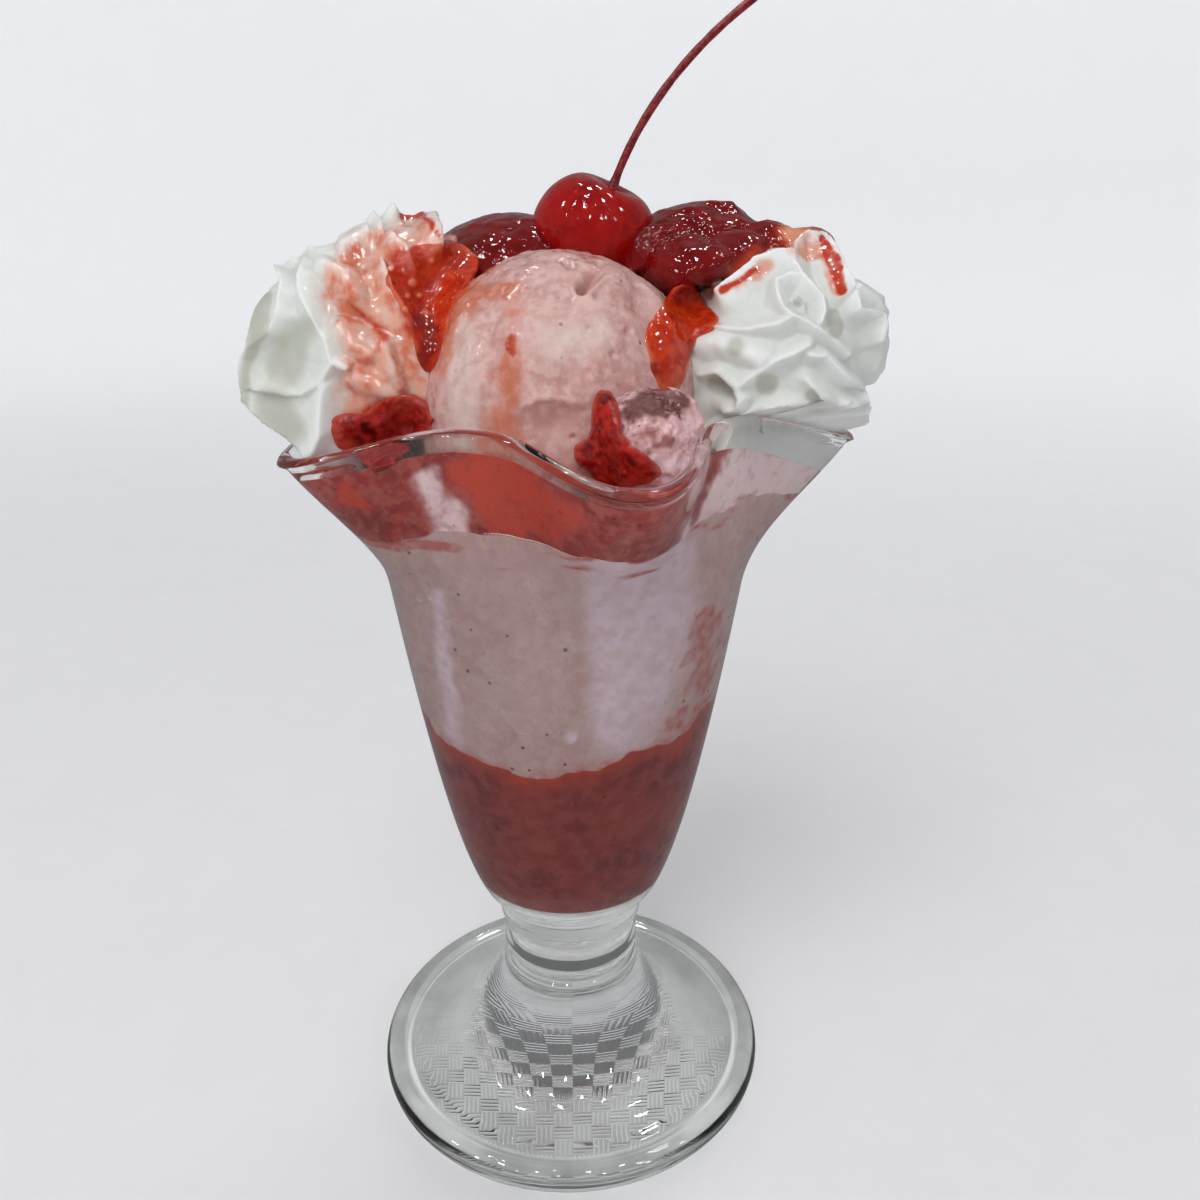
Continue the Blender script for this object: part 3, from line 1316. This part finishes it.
    def build_lump(self) -> None:
        """Makes the small rough lump with its dark speckled top."""
        lump = Heap("small_lump", (12.5, -30.5, 137.5),
                    ((12.4, -31.0, 137.4, 5.8), (13.5, -29.5, 133.5, 6.4), (10.8, -29.5, 139.3, 4.8),
                     (15.2, -28.5, 139.0, 4.6)),
                    0.5, ((0.7, 3.4, 6), (0.28, 1.2, 7)), detail=Detail.SMALL).build()
        dark = (Stroke(((632, 410, 12), (655, 402, 16), (678, 404, 12)), 18.0),)
        veins = (Stroke(((636, 440, 4), (650, 430, 5), (668, 438, 4)), 16.0),
                 Stroke(((650, 448, 4), (672, 440, 4)), 16.0))
        paint(lump, "deep", 0.9 * stroke_mask(lump, dark, 6.0, 1.6, 53))
        paint(lump, "stain", 0.8 * stroke_mask(lump, veins, 7.0, 1.2, 56))
        paint(lump, "pale", 0.4 * stroke_mask(lump, (Stroke(((672, 470, 14),), 20.0),), 4.0, 2.0, 57))
        hand_over(lump, "ice_cream_lump",
                  IceCreamFinish("lump_of_ice_cream",
                                 Mottle(seen(220, 172, 170), seen(228, 194, 200), seen(180, 124, 120),
                                        2.4, 0.8, 0.8), seen(150, 88, 82), seen(100, 38, 36),
                                 seen(214, 190, 208), 2.5, 0.5).make())


@dataclass(frozen=True)
class Sauces:
    """The dark sauce over the mound, the two runs of syrup and the crushed strawberries."""

    middle: tuple[float, float, float] = (11.0, 9.0, 158.5)

    def build(self) -> None:
        """Makes and dresses the runs of syrup and the strawberries on what lies under them."""
        self.build_syrup()
        self.build_berries()

    def build_crown(self) -> None:
        """Makes the dark sauce with its peak at the right and its thin pink end."""
        dark = Mottle(seen(112, 6, 6), seen(130, 14, 12), seen(80, 4, 8), 9.0, 3.0, 0.6)
        crown = Heap("sauce_topping", self.middle,
                     ((-8.0, 11.0, 148.0, 21.0), (8.0, 12.0, 147.0, 20.5), (22.0, 9.0, 149.0, 20.8),
                      (31.0, 5.0, 149.5, 17.0), (26.7, 8.0, 164.5, 5.0), (16.0, 0.0, 160.0, 7.0),
                      (20.0, -5.5, 158.0, 7.5), (28.0, -3.0, 160.0, 6.0), (34.0, 1.0, 162.0, 5.5),
                      (40.5, 1.0, 161.2, 5.2)),
                     0.8, ((0.9, 6.0, 8), (0.25, 2.2, 9))).build()
        self.tuck(crown)
        carve(crown, self.middle, (
            Crest(((660, 214, 0.6), (690, 209, 0.9), (722, 204, 1.6)), 8.0, 1.5),
            Crest(((722, 204, 1.6), (740, 222, 0.8), (770, 232, 0.6)), 8.0, 1.5),
            Crest(((650, 262, 1.0), (680, 275, 1.4), (720, 262, 1.2), (745, 250, 0.8)), 10.0, 1.5),
            Crest(((655, 240, -1.2), (700, 236, -1.0), (740, 240, -0.8)), 9.0, 2.0),
            Crest(((760, 240, 0.8), (790, 250, 0.6)), 9.0, 1.5),
        ), 73)
        light = (Stroke(((795, 235, 14), (815, 245, 12), (822, 262, 8)), 22.0),)
        thin = (Stroke(((770, 250, 8), (740, 272, 8), (735, 295, 6)), 14.0),
                Stroke(((790, 240, 20),), 26.0))
        paint(crown, "pale", 0.9 * stroke_mask(crown, light, 8.0, 4.0, 71))
        paint(crown, "stain", 0.7 * stroke_mask(crown, thin, 8.0, 4.0, 74))
        hand_over(crown, "sauce_crown",
                  SauceFinish("dark_sauce", dark, rough=0.02, lumps=0.25, glow=0.05, bubbles=0.2).make())

    def build_syrup(self) -> None:
        """Makes the two runs of orange syrup, which fill the hollows at the scoop's sides."""
        orange = SauceFinish("orange_syrup", Mottle(seen(188, 44, 12), seen(204, 70, 28),
                                                    seen(140, 22, 8), 5.0, 1.8, 0.6),
                             seen(128, 20, 10), seen(214, 118, 84), rough=0.04, lumps=0.25,
                             glow=0.35).make()
        left = Pour("left_syrup", (428, 292),
                    ((470, 246), (484, 262), (474, 280), (460, 296), (448, 318), (442, 345), (434, 372),
                     (424, 378), (417, 350), (412, 322), (402, 308), (392, 296), (384, 282), (388, 266),
                     (400, 254), (420, 246), (445, 240)),
                    ("front_scoop", "left_cream", "sauce_topping", "back_mound"), 0.9, 4.0, 90,
                    ((0.12, 3.0, 10),))
        right = Pour("right_syrup", (672, 326),
                     ((684, 282), (700, 290), (704, 304), (722, 318), (716, 330), (698, 336), (690, 354),
                      (684, 376), (678, 394), (666, 396), (656, 380), (648, 358), (646, 334), (654, 318),
                      (664, 304), (672, 290)),
                     ("front_scoop", "right_cream", "sauce_topping", "back_mound"), 1.0, 4.0, 90,
                     ((0.12, 3.0, 12),))
        pearls = dots((413, 283, 0.55, 5.0), (405, 310, 0.55, 4.0), (402, 317, 0.55, 3.5),
                      (426, 313, 0.55, 4.5), (391, 268, 0.55, 4.0), (420, 296, 0.55, 3.0),
                      (432, 262, 0.55, 3.0), (408, 296, 0.55, 3.0))
        dark = (Stroke(((424, 322, 12), (428, 345, 12), (424, 366, 8)), 12.0),
                Stroke(((688, 290, 9), (676, 300, 6)), 12.0), Stroke(((655, 372, 6),), 12.0))
        left_hub, right_hub = (-23.38, 30.0, 140.0), (16.88, 30.0, 140.0)
        for pour, node, hub, knobs in ((left, "syrup_left", left_hub, pearls),
                                       (right, "syrup_right", right_hub, ())):
            piece, over = pour.build()
            raised = carve(piece, hub, knobs, 76, 0.0)
            thin = 1.0 - smooth_step(over, 0.1, 1.1)
            deep = stroke_mask(piece, dark, 4.0, 2.0, 75)
            paint(piece, "stain", 0.8 * deep)
            knob = smooth_step(raised, 0.15, 0.4)
            paint(piece, "pale", np.maximum(0.5 * thin * (1.0 - 0.8 * deep), 0.9 * knob))
            hand_over(piece, node, orange)

    def build_berries(self) -> None:
        """Makes the two lots of crushed strawberry on the rim."""
        berry = SauceFinish("crushed_strawberry", Mottle(seen(146, 20, 16), seen(178, 44, 34),
                                                         seen(98, 8, 8), 2.6, 1.2, 0.8),
                            seen(80, 6, 8), seen(176, 60, 42), rough=0.03, lumps=0.3, glow=0.1).make()
        beds = ("front_scoop", "left_cream", "right_cream", "upper_sauce", "small_lump")
        berries = (
            Pour("left_strawberry", (382, 426),
                 ((332, 426), (340, 416), (350, 412), (362, 415), (376, 405), (390, 398), (402, 393),
                  (416, 392), (428, 401), (435, 416), (433, 434), (421, 450), (396, 460), (364, 464),
                  (344, 454), (334, 440)),
                 beds, 2.4, 4.0, 60, ((0.9, 4.5, 13), (0.3, 1.6, 17)), 0.10, 0.9),
            Pour("front_strawberry", (606, 452),
                 ((594, 402), (598, 393), (606, 390), (614, 394), (619, 410), (622, 430), (632, 446),
                  (650, 458), (664, 472), (650, 484), (618, 486), (590, 474), (574, 456), (578, 444),
                  (588, 438), (592, 424)),
                 beds, 3.2, 5.0, 60, ((0.7, 4.0, 14), (0.25, 1.6, 18)), 0.08, 0.8),
        )
        for pour, node in zip(berries, ("strawberry_left", "strawberry_front")):
            piece, over = pour.build()
            points = read_points(piece) / MM
            paint(piece, "stain", 0.8 * smooth_step(rough_field(points, 3.0, 3, 77), 0.3, 0.9))
            paint(piece, "pale", 0.8 * (1.0 - smooth_step(over, 0.8, 2.6)))
            hand_over(piece, node, berry)

    def tuck(self, crown: bpy.types.Object) -> None:
        """Rounds the sauce's lower edge under, so that it ends in a thick wavy lip on the mound."""
        points = read_points(crown) / MM
        middle = np.array(self.middle)
        angle = np.arctan2(points[:, 0] - middle[0], -(points[:, 1] - middle[1]))
        edge = 155.0 + 1.8 * np.sin(3.0 * angle) + 1.4 * np.sin(7.0 * angle + 1.0)
        edge = edge + 2.0 * rough_field(points * np.array((1.0, 1.0, 0.0)), 6.0, 2, 72)
        out = points - middle
        length = np.linalg.norm(out, axis=1)
        way = out / length[:, None]
        length = length - 6.5 * smooth_step(edge - points[:, 2], -2.5, 1.5)
        low = np.minimum(length, 9.0 / np.maximum(-way[:, 2], 0.2))
        length = np.where(way[:, 2] < 0.0, low, length)
        write_points(crown, (middle + way * length[:, None]) * MM)


@dataclass(frozen=True)
class Creams:
    """Whipped cream: broad folds on the left and a piped rosette on the right."""

    dish: Dish

    def build(self) -> None:
        """Makes and dresses both."""
        material = CreamFinish().make()
        self.build_left(material)
        self.build_right(material)

    def finish(self, heap: Heap, crests: Sequence[Crest], stains: Sequence[Stroke],
               deeps: Sequence[Stroke], shades: Sequence[Stroke], node: str,
               material: bpy.types.Material) -> None:
        """Sculpts one cream and paints its hollows and stains.

        Args:
            heap: Its plain form, folded at the back.
            crests: Crests and grooves on the side that shows.
            stains: Thin syrup on it.
            deeps: Thick syrup on it.
            shades: Places that lie in shade.
            node: The node that it replaces.
            material: The cream's finish.
        """
        piece = heap.build()
        points = read_points(piece) / MM
        ways = points - np.array(heap.centre)
        ways /= np.linalg.norm(ways, axis=1)[:, None]
        away = smooth_step(-VIEW.facing(piece), -0.1, 0.4)
        folds = heap_folds(ways)
        write_points(piece, (points + ways * (3.0 * folds * away)[:, None]) * MM)
        shift = carve(piece, heap.centre, crests, 82, 2.0)
        write_points(piece, keep_inside(self.dish, read_points(piece) / MM, 0.15) * MM)
        height = np.maximum(np.abs(shift), 3.0 * folds * away)
        above = smooth_step(read_points(piece)[:, 2] / MM, 132.0, 140.0)
        hollow = above * (1.0 - smooth_step(height, 0.8, 3.2))
        paint(piece, "fold", np.maximum(0.35 * hollow, 0.8 * stroke_mask(piece, shades, 4.0, 5.0, 84)))
        crested = 1.0 - 0.45 * smooth_step(shift, 2.0, 3.6)
        paint(piece, "stain", crested * stroke_mask(piece, stains, 7.0, 4.0, 81))
        paint(piece, "deep", stroke_mask(piece, deeps, 3.0, 3.0, 83))
        hand_over(piece, node, material)

    def build_left(self, material: bpy.types.Material) -> None:
        """Makes the left cream: thin blades outside, stained lumps inside."""
        heap = Heap("left_cream", (-35.0, -3.0, 149.0),
                    ((-38.8, -3.0, 141.5, 14.2), (-32.0, -4.0, 150.5, 11.8), (-30.0, -8.0, 144.0, 12.0),
                     (-25.0, -1.0, 157.0, 8.5), (-36.0, 7.0, 143.5, 13.0), (-24.0, 4.0, 156.0, 9.0),
                     (-38.3, -4.0, 148.5, 10.2), (-29.0, -2.0, 157.4, 6.4),
                     (-38.0, -8.0, 136.0, 11.0), (-30.0, -4.0, 134.0, 11.0)),
                    1.5, ((0.35, 6.0, 15),))
        crests = (
            Crest(((277, 276, 4.0), (266, 291, 3.4), (258, 318, 2.8), (248, 342, 2.4), (240, 362, 2.0),
                   (236, 384, 1.8), (239, 402, 1.8), (250, 421, 1.8), (262, 432, 1.8), (278, 447, 1.8)),
                  12.0, 1.0),
            Crest(((290, 270, 3.2), (291, 280, 3.6), (297, 302, 4.0), (293, 315, 3.6), (282, 331, 3.2),
                   (264, 344, 3.0), (257, 356, 2.8), (253, 370, 2.6), (251, 386, 2.6), (255, 404, 2.6),
                   (265, 425, 2.6), (275, 440, 2.2)), 7.0, 1.0),
            Crest(((313, 272, 2.4), (309, 290, 3.6), (316, 315, 3.6), (328, 342, 3.2), (334, 362, 3.0),
                   (322, 380, 2.2), (305, 388, 1.6)), 11.0, 1.0),
            Crest(((248, 384, 2.0), (270, 385, 1.8), (292, 389, 1.6), (306, 389, 1.8), (322, 378, 2.0)),
                  6.0, 1.0),
            Crest(((326, 380, 2.4), (324, 404, 2.6), (322, 424, 2.8), (314, 440, 2.8), (298, 452, 2.4)),
                  12.0, 1.2),
            Crest(((334, 360, 2.6), (346, 364, 3.2)), 8.0, 2.0),
            Crest(((318, 262, 3.4), (330, 252, 4.0), (339, 245, 4.0)), 12.0, 1.3),
            Crest(((345, 236, 3.0), (350, 242, 3.2)), 10.0, 2.0),
            Crest(((356, 236, 4.1), (370, 236, 4.1), (376, 244, 3.8)), 8.0, 1.5),
            Crest(((371, 226, 3.4), (382, 221, 3.2), (400, 218, 3.2), (412, 219, 3.4)), 9.0, 1.5),
            Crest(((414, 224, 3.4), (420, 229, 3.8), (427, 244, 4.0), (430, 256, 3.4)), 8.0, 1.8),
            Crest(((431, 220, 3.2), (446, 218, 3.4), (453, 226, 3.2), (454, 236, 2.4)), 11.0, 2.0),
            Crest(((344, 252, 3.2), (362, 246, 3.4)), 12.0, 2.0),
            Crest(((330, 276, 3.0), (345, 285, 3.0), (352, 300, 2.4)), 14.0, 2.0),
            Crest(((377, 272, 3.0), (384, 298, 3.2), (398, 318, 3.6), (408, 330, 3.4), (413, 350, 3.2),
                   (418, 378, 3.0), (418, 396, 2.6)), 9.0, 1.3),
            Crest(((386, 252, 3.4), (398, 262, 3.0), (404, 280, 2.6)), 10.0, 2.0),
            Crest(((340, 330, 2.2), (352, 345, 2.4), (366, 352, 2.0)), 12.0, 2.0),
            Crest(((355, 375, 2.4), (375, 384, 2.2), (392, 392, 1.8)), 12.0, 2.0),
            Crest(((382, 345, 2.6), (388, 366, 2.4), (396, 382, 2.0)), 10.0, 2.0),
            Crest(((352, 308, -0.8), (370, 326, -1.0), (384, 336, -0.8)), 7.0, 2.0),
        )
        stains = (Stroke(((345, 285, 26), (375, 262, 34), (440, 240, 30)), 40.0),
                  Stroke(((380, 300, 48), (392, 345, 52), (390, 410, 52)), 50.0))
        deeps = (Stroke(((352, 305, 1), (370, 322, 3), (386, 336, 3), (378, 350, 1)), 12.0),
                 Stroke(((400, 218, 2), (420, 214, 3), (432, 224, 3), (440, 240, 3)), 4.0),
                 Stroke(((404, 262, 14), (414, 285, 16), (414, 330, 8)), 18.0),
                 Stroke(((362, 425, 12), (390, 412, 12)), 16.0))
        shades = (Stroke(((268, 296, 8), (256, 330, 10), (247, 370, 8), (244, 402, 6)), 8.0),
                  Stroke(((300, 330, 14), (286, 365, 24)), 26.0),
                  Stroke(((272, 405, 20), (290, 428, 18)), 22.0))
        self.finish(heap, crests, stains, deeps, shades, "cream_left", material)

    def build_right(self, material: bpy.types.Material) -> None:
        """Makes the right cream: a rosette of smooth hollows between sharp crests."""
        heap = Heap("right_cream", (37.0, -3.0, 148.0),
                    ((37.0, -3.0, 148.0, 12.2), (32.0, -8.0, 147.5, 11.0), (43.0, -3.0, 149.4, 9.0),
                     (27.5, -12.0, 142.5, 8.5), (36.0, -12.0, 141.0, 8.0), (36.0, -2.0, 152.0, 10.5),
                     (36.0, 8.0, 150.0, 12.5), (38.5, -8.0, 133.0, 12.2), (32.0, -15.0, 131.0, 11.0)),
                    1.5, ((0.3, 5.0, 16),))
        crests = (
            Crest(((792, 277, 3.6), (794, 264, 4.0), (803, 257, 4.2), (815, 259, 4.2), (825, 270, 4.1),
                   (831, 283, 4.0), (840, 297, 3.9)), 8.0, 1.0),
            Crest(((793, 278, 3.6), (797, 284, 3.4), (806, 294, 3.4), (815, 304, 3.4), (817, 318, 3.2),
                   (814, 327, 3.0)), 7.0, 1.0),
            Crest(((778, 290, 3.0), (779, 302, 3.2), (783, 314, 3.2), (791, 320, 3.2), (802, 325, 3.2),
                   (812, 332, 3.4), (826, 342, 3.6), (838, 352, 3.4)), 7.0, 1.0),
            Crest(((779, 290, 3.0), (788, 285, 3.2), (796, 286, 3.2)), 6.0, 1.0),
            Crest(((793, 301, 1.6), (800, 306, 1.6), (802, 314, 1.2)), 5.0, 1.5),
            Crest(((730, 302, 4.1), (745, 290, 4.0), (760, 276, 4.0), (780, 270, 4.0), (793, 270, 3.9)),
                  10.0, 1.0),
            Crest(((708, 294, 4.0), (716, 285, 4.1), (724, 288, 4.0)), 8.0, 1.5),
            Crest(((700, 327, 2.8), (728, 328, 2.6), (752, 331, 2.8), (776, 328, 3.0), (791, 321, 3.0)),
                  9.0, 1.0),
            Crest(((694, 344, 3.2), (690, 360, 3.6), (686, 376, 3.8), (680, 396, 3.6), (690, 412, 3.0)),
                  10.0, 1.2),
            Crest(((700, 340, 3.0), (722, 340, 2.6), (745, 348, 3.0), (765, 358, 3.0)), 16.0, 2.0),
            Crest(((742, 384, 3.4), (746, 392, 3.8), (742, 400, 3.4), (730, 405, 2.8)), 7.0, 1.0),
            Crest(((706, 372, 2.0), (722, 370, 2.2), (741, 383, 3.0)), 8.0, 1.2),
            Crest(((742, 384, 3.0), (755, 374, 3.0), (775, 362, 3.0), (790, 352, 3.0), (806, 344, 3.0)),
                  8.0, 1.0),
            Crest(((806, 352, 3.0), (820, 354, 3.4), (834, 368, 3.8), (848, 382, 4.0), (852, 392, 4.0),
                   (842, 397, 3.8)), 8.0, 1.0),
            Crest(((806, 376, 2.8), (820, 394, 3.8), (829, 406, 4.0), (829, 420, 3.9)), 8.0, 1.0),
            Crest(((843, 300, 3.4), (846, 315, 3.2), (858, 316, 3.0), (868, 318, 3.0), (870, 328, 3.0),
                   (868, 342, 2.6)), 6.0, 1.0),
            Crest(((850, 294, 2.6), (868, 306, 2.2), (880, 320, 2.0), (881, 336, 2.0), (875, 350, 2.0),
                   (870, 366, 2.2), (860, 386, 2.0), (852, 398, 2.0)), 10.0, 1.6),
            Crest(((860, 400, 2.4), (854, 412, 2.4), (846, 418, 2.4)), 8.0, 1.5),
            Crest(((690, 405, 2.4), (700, 425, 2.6), (712, 440, 2.4)), 10.0, 1.5),
            Crest(((758, 410, 2.6), (780, 404, 2.4), (806, 412, 2.6)), 10.0, 1.5),
            *dots((716, 384, -1.2, 12.0), (765, 388, -0.8, 10.0)),
        )
        stains = (Stroke(((800, 240, 14), (830, 250, 8), (836, 290, 4)), 10.0),
                  Stroke(((708, 292, 5), (735, 284, 8), (762, 264, 8)), 10.0),
                  Stroke(((700, 330, 7), (718, 322, 5)), 8.0))
        deeps = (Stroke(((822, 238, 4), (834, 262, 8), (842, 290, 5)), 4.0),
                 Stroke(((722, 290, 3), (738, 282, 4), (756, 268, 4)), 5.0))
        shades = (Stroke(((716, 386, 12), (728, 392, 8)), 8.0), Stroke(((766, 386, 12),), 8.0),
                  Stroke(((797, 302, 6),), 5.0), Stroke(((812, 396, 6), (818, 410, 5)), 6.0),
                  Stroke(((836, 330, 6), (832, 316, 5)), 6.0), Stroke(((735, 345, 8),), 10.0))
        self.finish(heap, crests, stains, deeps, shades, "cream_right", material)


@dataclass(frozen=True)
class Cherry:
    """The candied cherry and its long bent stalk."""

    centre: tuple[float, float, float] = (5.3, 6.0, 165.2)
    radius: float = 10.3
    dimple: float = 2.6
    axis: tuple[float, float, float] = (3.4, -1.6, 8.0)
    stalk: float = 0.75
    bend: tuple[float, float, float] = (14.5, 4.0, 190.0)
    tip: tuple[float, float, float] = (34.0, 4.5, 202.5)

    def place(self, ways: np.ndarray) -> np.ndarray:
        """Points of the cherry's skin."""
        up = Vector((0.0, 0.0, 1.0))
        turn = np.array(up.rotation_difference(Vector(self.axis)).to_matrix())
        away = np.arccos(np.clip(ways[:, 2], -1.0, 1.0))
        depth = self.dimple * np.exp(-((away / 0.42) ** 2)) + 0.25 * np.cos(2.0 * away)
        length = self.radius - depth + 0.12 * rough_field(ways * 10.0, 6.0, 2, 91)
        return np.array(self.centre) + (ways * length[:, None]) @ turn.T

    def build(self) -> None:
        """Makes and dresses the cherry and the stalk."""
        fruit = puff_ball("cherry_fruit", Detail.FULL, self.place)
        hand_over(fruit, "cherry", SkinFinish(
            "cherry_skin", Mottle(seen(152, 9, 6), seen(168, 22, 18), seen(112, 4, 10), 7.0, 2.0,
                                  0.6)).make())
        axis = np.array(self.axis) / np.linalg.norm(self.axis)
        start = np.array(self.centre) + axis * (self.radius - self.dimple - 0.5)
        bend, tip = np.array(self.bend), np.array(self.tip)

        def place(angle: np.ndarray, share: np.ndarray) -> np.ndarray:
            t = np.clip((share - 0.03) / 0.94, 0.0, 1.0)[:, None]
            line = start * (1 - t) ** 2 + bend * 2 * t * (1 - t) + tip * t ** 2
            run = 2 * (1 - t) * (bend - start) + 2 * t * (tip - bend)
            run /= np.linalg.norm(run, axis=1)[:, None]
            side = np.cross(run, np.array((0.0, 1.0, 0.0)))
            side /= np.linalg.norm(side, axis=1)[:, None]
            over = np.cross(side, run)
            t = t[:, 0]
            width = self.stalk * (0.85 + 0.5 * np.exp(-((t / 0.05) ** 2))
                                  + 0.75 * np.exp(-(((1.0 - t) / 0.05) ** 2)))
            width = width + 0.05 * rough_field(line, 2.5, 2, 92)
            width = width * np.sqrt(np.clip(np.minimum(share, 1.0 - share) / 0.03, 0.0, 1.0))
            return line + width[:, None] * (np.cos(angle)[:, None] * side + np.sin(angle)[:, None] * over)

        stalk = roll_skin("stalk", 20, 160, place)
        hand_over(stalk, "cherry_stalk", SkinFinish(
            "cherry_stalk", Mottle(seen(112, 20, 26), seen(150, 50, 48), seen(78, 10, 18), 3.0, 0.9, 0.8),
            0.25, 0.08, 0.05).make())


@dataclass(frozen=True)
class Studio:
    """A plain pale floor, soft studio light and rows of small ceiling lamps that give the glints."""

    room: float = 1800.0
    sweep: float = 700.0
    wall: float = 700.0
    floor_drop: float = 0.1
    aim: tuple[float, float, float] = (0.0, 0.0, 0.11)
    sky: Colour = (0.80, 0.81, 0.84)
    sky_light: float = 0.28
    sky_mirrored: float = 0.09
    lamp_size: tuple[float, float] = (0.028, 0.09)
    lamp_power: float = 0.8
    lamps: tuple[tuple[float, float, float], ...] = (
        (-0.52, -0.40, 1.05), (-0.30, -0.62, 1.15), (-0.12, -0.28, 1.20), (0.10, -0.55, 1.10),
        (0.33, -0.34, 1.15), (0.55, -0.60, 1.05), (-0.38, 0.05, 1.15), (0.02, 0.10, 1.20),
        (0.40, 0.12, 1.10), (-0.75, -0.10, 0.95), (-0.60, -0.95, 0.90), (-0.15, -1.05, 0.95),
        (0.30, -1.00, 0.90), (0.75, -0.85, 0.85), (-0.85, -0.55, 0.85), (0.80, -0.25, 0.95),
        (-0.20, 0.40, 1.10), (0.25, 0.45, 1.10))

    def area(self, name: str, place: tuple[float, float, float], size: tuple[float, float],
             power: float, mirrored: bool = False, lights: bool = True) -> None:
        """Adds one area light.

        Args:
            name: Name of the light.
            place: Where it hangs, in metres.
            size: Its width and height, in metres.
            power: Its power, in watts.
            mirrored: Whether glossy surfaces mirror it.
            lights: Whether it lights matt surfaces.
        """
        data = bpy.data.lights.new(name, "AREA")
        data.shape = "RECTANGLE"
        data.size, data.size_y = size
        data.energy = power
        lamp = bpy.data.objects.new(name, data)
        lamp.location = place
        lamp.rotation_euler = (Vector(self.aim) - Vector(place)).to_track_quat("-Z", "Y").to_euler()
        lamp.visible_glossy = mirrored
        lamp.visible_transmission = False
        lamp.visible_diffuse = lights
        bpy.context.collection.objects.link(lamp)

    def build_room(self) -> None:
        """Makes the pale floor and, far off, the round wall that it sweeps up into."""
        def place(angle: np.ndarray, share: np.ndarray) -> np.ndarray:
            flat, bend = self.room - self.sweep, 0.5 * math.pi
            turn = np.clip((share - 0.5) / 0.2, 0.0, 1.0) * bend
            radius = np.where(share < 0.5, flat * share / 0.5, flat + self.sweep * np.sin(turn))
            height = self.sweep * (1.0 - np.cos(turn))
            height = height + self.wall * np.clip((share - 0.7) / 0.3, 0.0, 1.0)
            return np.stack([radius * np.sin(angle), radius * np.cos(angle), height], axis=1)

        room = roll_skin("studio_room", 96, 60, place)
        points = read_points(room)
        points[:, 2] -= self.floor_drop * MM
        write_points(room, points)
        p = Painter("studio_room")
        base, _ = Mottle(seen(226, 226, 227), seen(229, 229, 230), seen(223, 223, 224), 60.0, 15.0,
                         0.4).place(p)
        p.set(Base_Color=base, Roughness=0.7, Specular_IOR_Level=0.2, Emission_Color=(0.96, 0.97, 1.0),
              Emission_Strength=p.window(p.from_middle(), 0.12, 1.5, 0.05, 0.34))
        room.data.materials.clear()
        room.data.materials.append(p.material)
        room.visible_glossy = False

    def build_sky(self) -> None:
        """Makes the surroundings, dimmer where a surface mirrors them to the camera."""
        world = bpy.data.worlds.new("studio")
        world.use_nodes = True
        tree = world.node_tree
        background = tree.nodes["Background"]
        background.inputs["Color"].default_value = (*self.sky, 1.0)
        path = tree.nodes.new("ShaderNodeLightPath")
        first = tree.nodes.new("ShaderNodeMath")
        first.operation = "LESS_THAN"
        first.inputs[1].default_value = 1.5
        both = tree.nodes.new("ShaderNodeMath")
        both.operation = "MULTIPLY"
        dim = tree.nodes.new("ShaderNodeMapRange")
        dim.inputs["To Min"].default_value = self.sky_light
        dim.inputs["To Max"].default_value = self.sky_mirrored
        tree.links.new(path.outputs["Ray Depth"], first.inputs[0])
        tree.links.new(path.outputs["Is Glossy Ray"], both.inputs[0])
        tree.links.new(first.outputs[0], both.inputs[1])
        tree.links.new(both.outputs[0], dim.inputs["Value"])
        tree.links.new(dim.outputs["Result"], background.inputs["Strength"])
        bpy.context.scene.world = world

    def build(self) -> None:
        """Makes the floor, the surroundings and the lights."""
        self.build_room()
        self.build_sky()
        self.area("key", (-0.3, -0.65, 1.0), (0.7, 0.7), 7.0)
        self.area("back", (0.3, 0.7, 1.0), (0.7, 0.4), 2.6)
        for number, place in enumerate(self.lamps):
            self.area("lamp_%d" % number, place, self.lamp_size, self.lamp_power, True, False)


def main() -> None:
    """Builds the sundae from the glass up, then the studio."""
    logging.basicConfig(level=logging.INFO, format="%(name)s %(message)s")
    build_mottle_group()
    dish = Dish()
    dish.build()
    Filling(dish).build()
    Scoops().build()
    Sauces().build_crown()
    Creams(dish).build()
    Sauces().build()
    Cherry().build()
    Studio().build()
    VIEW.add_camera()
    bpy.context.scene.view_settings.view_transform = "Standard"


if __name__ == "__main__":
    main()
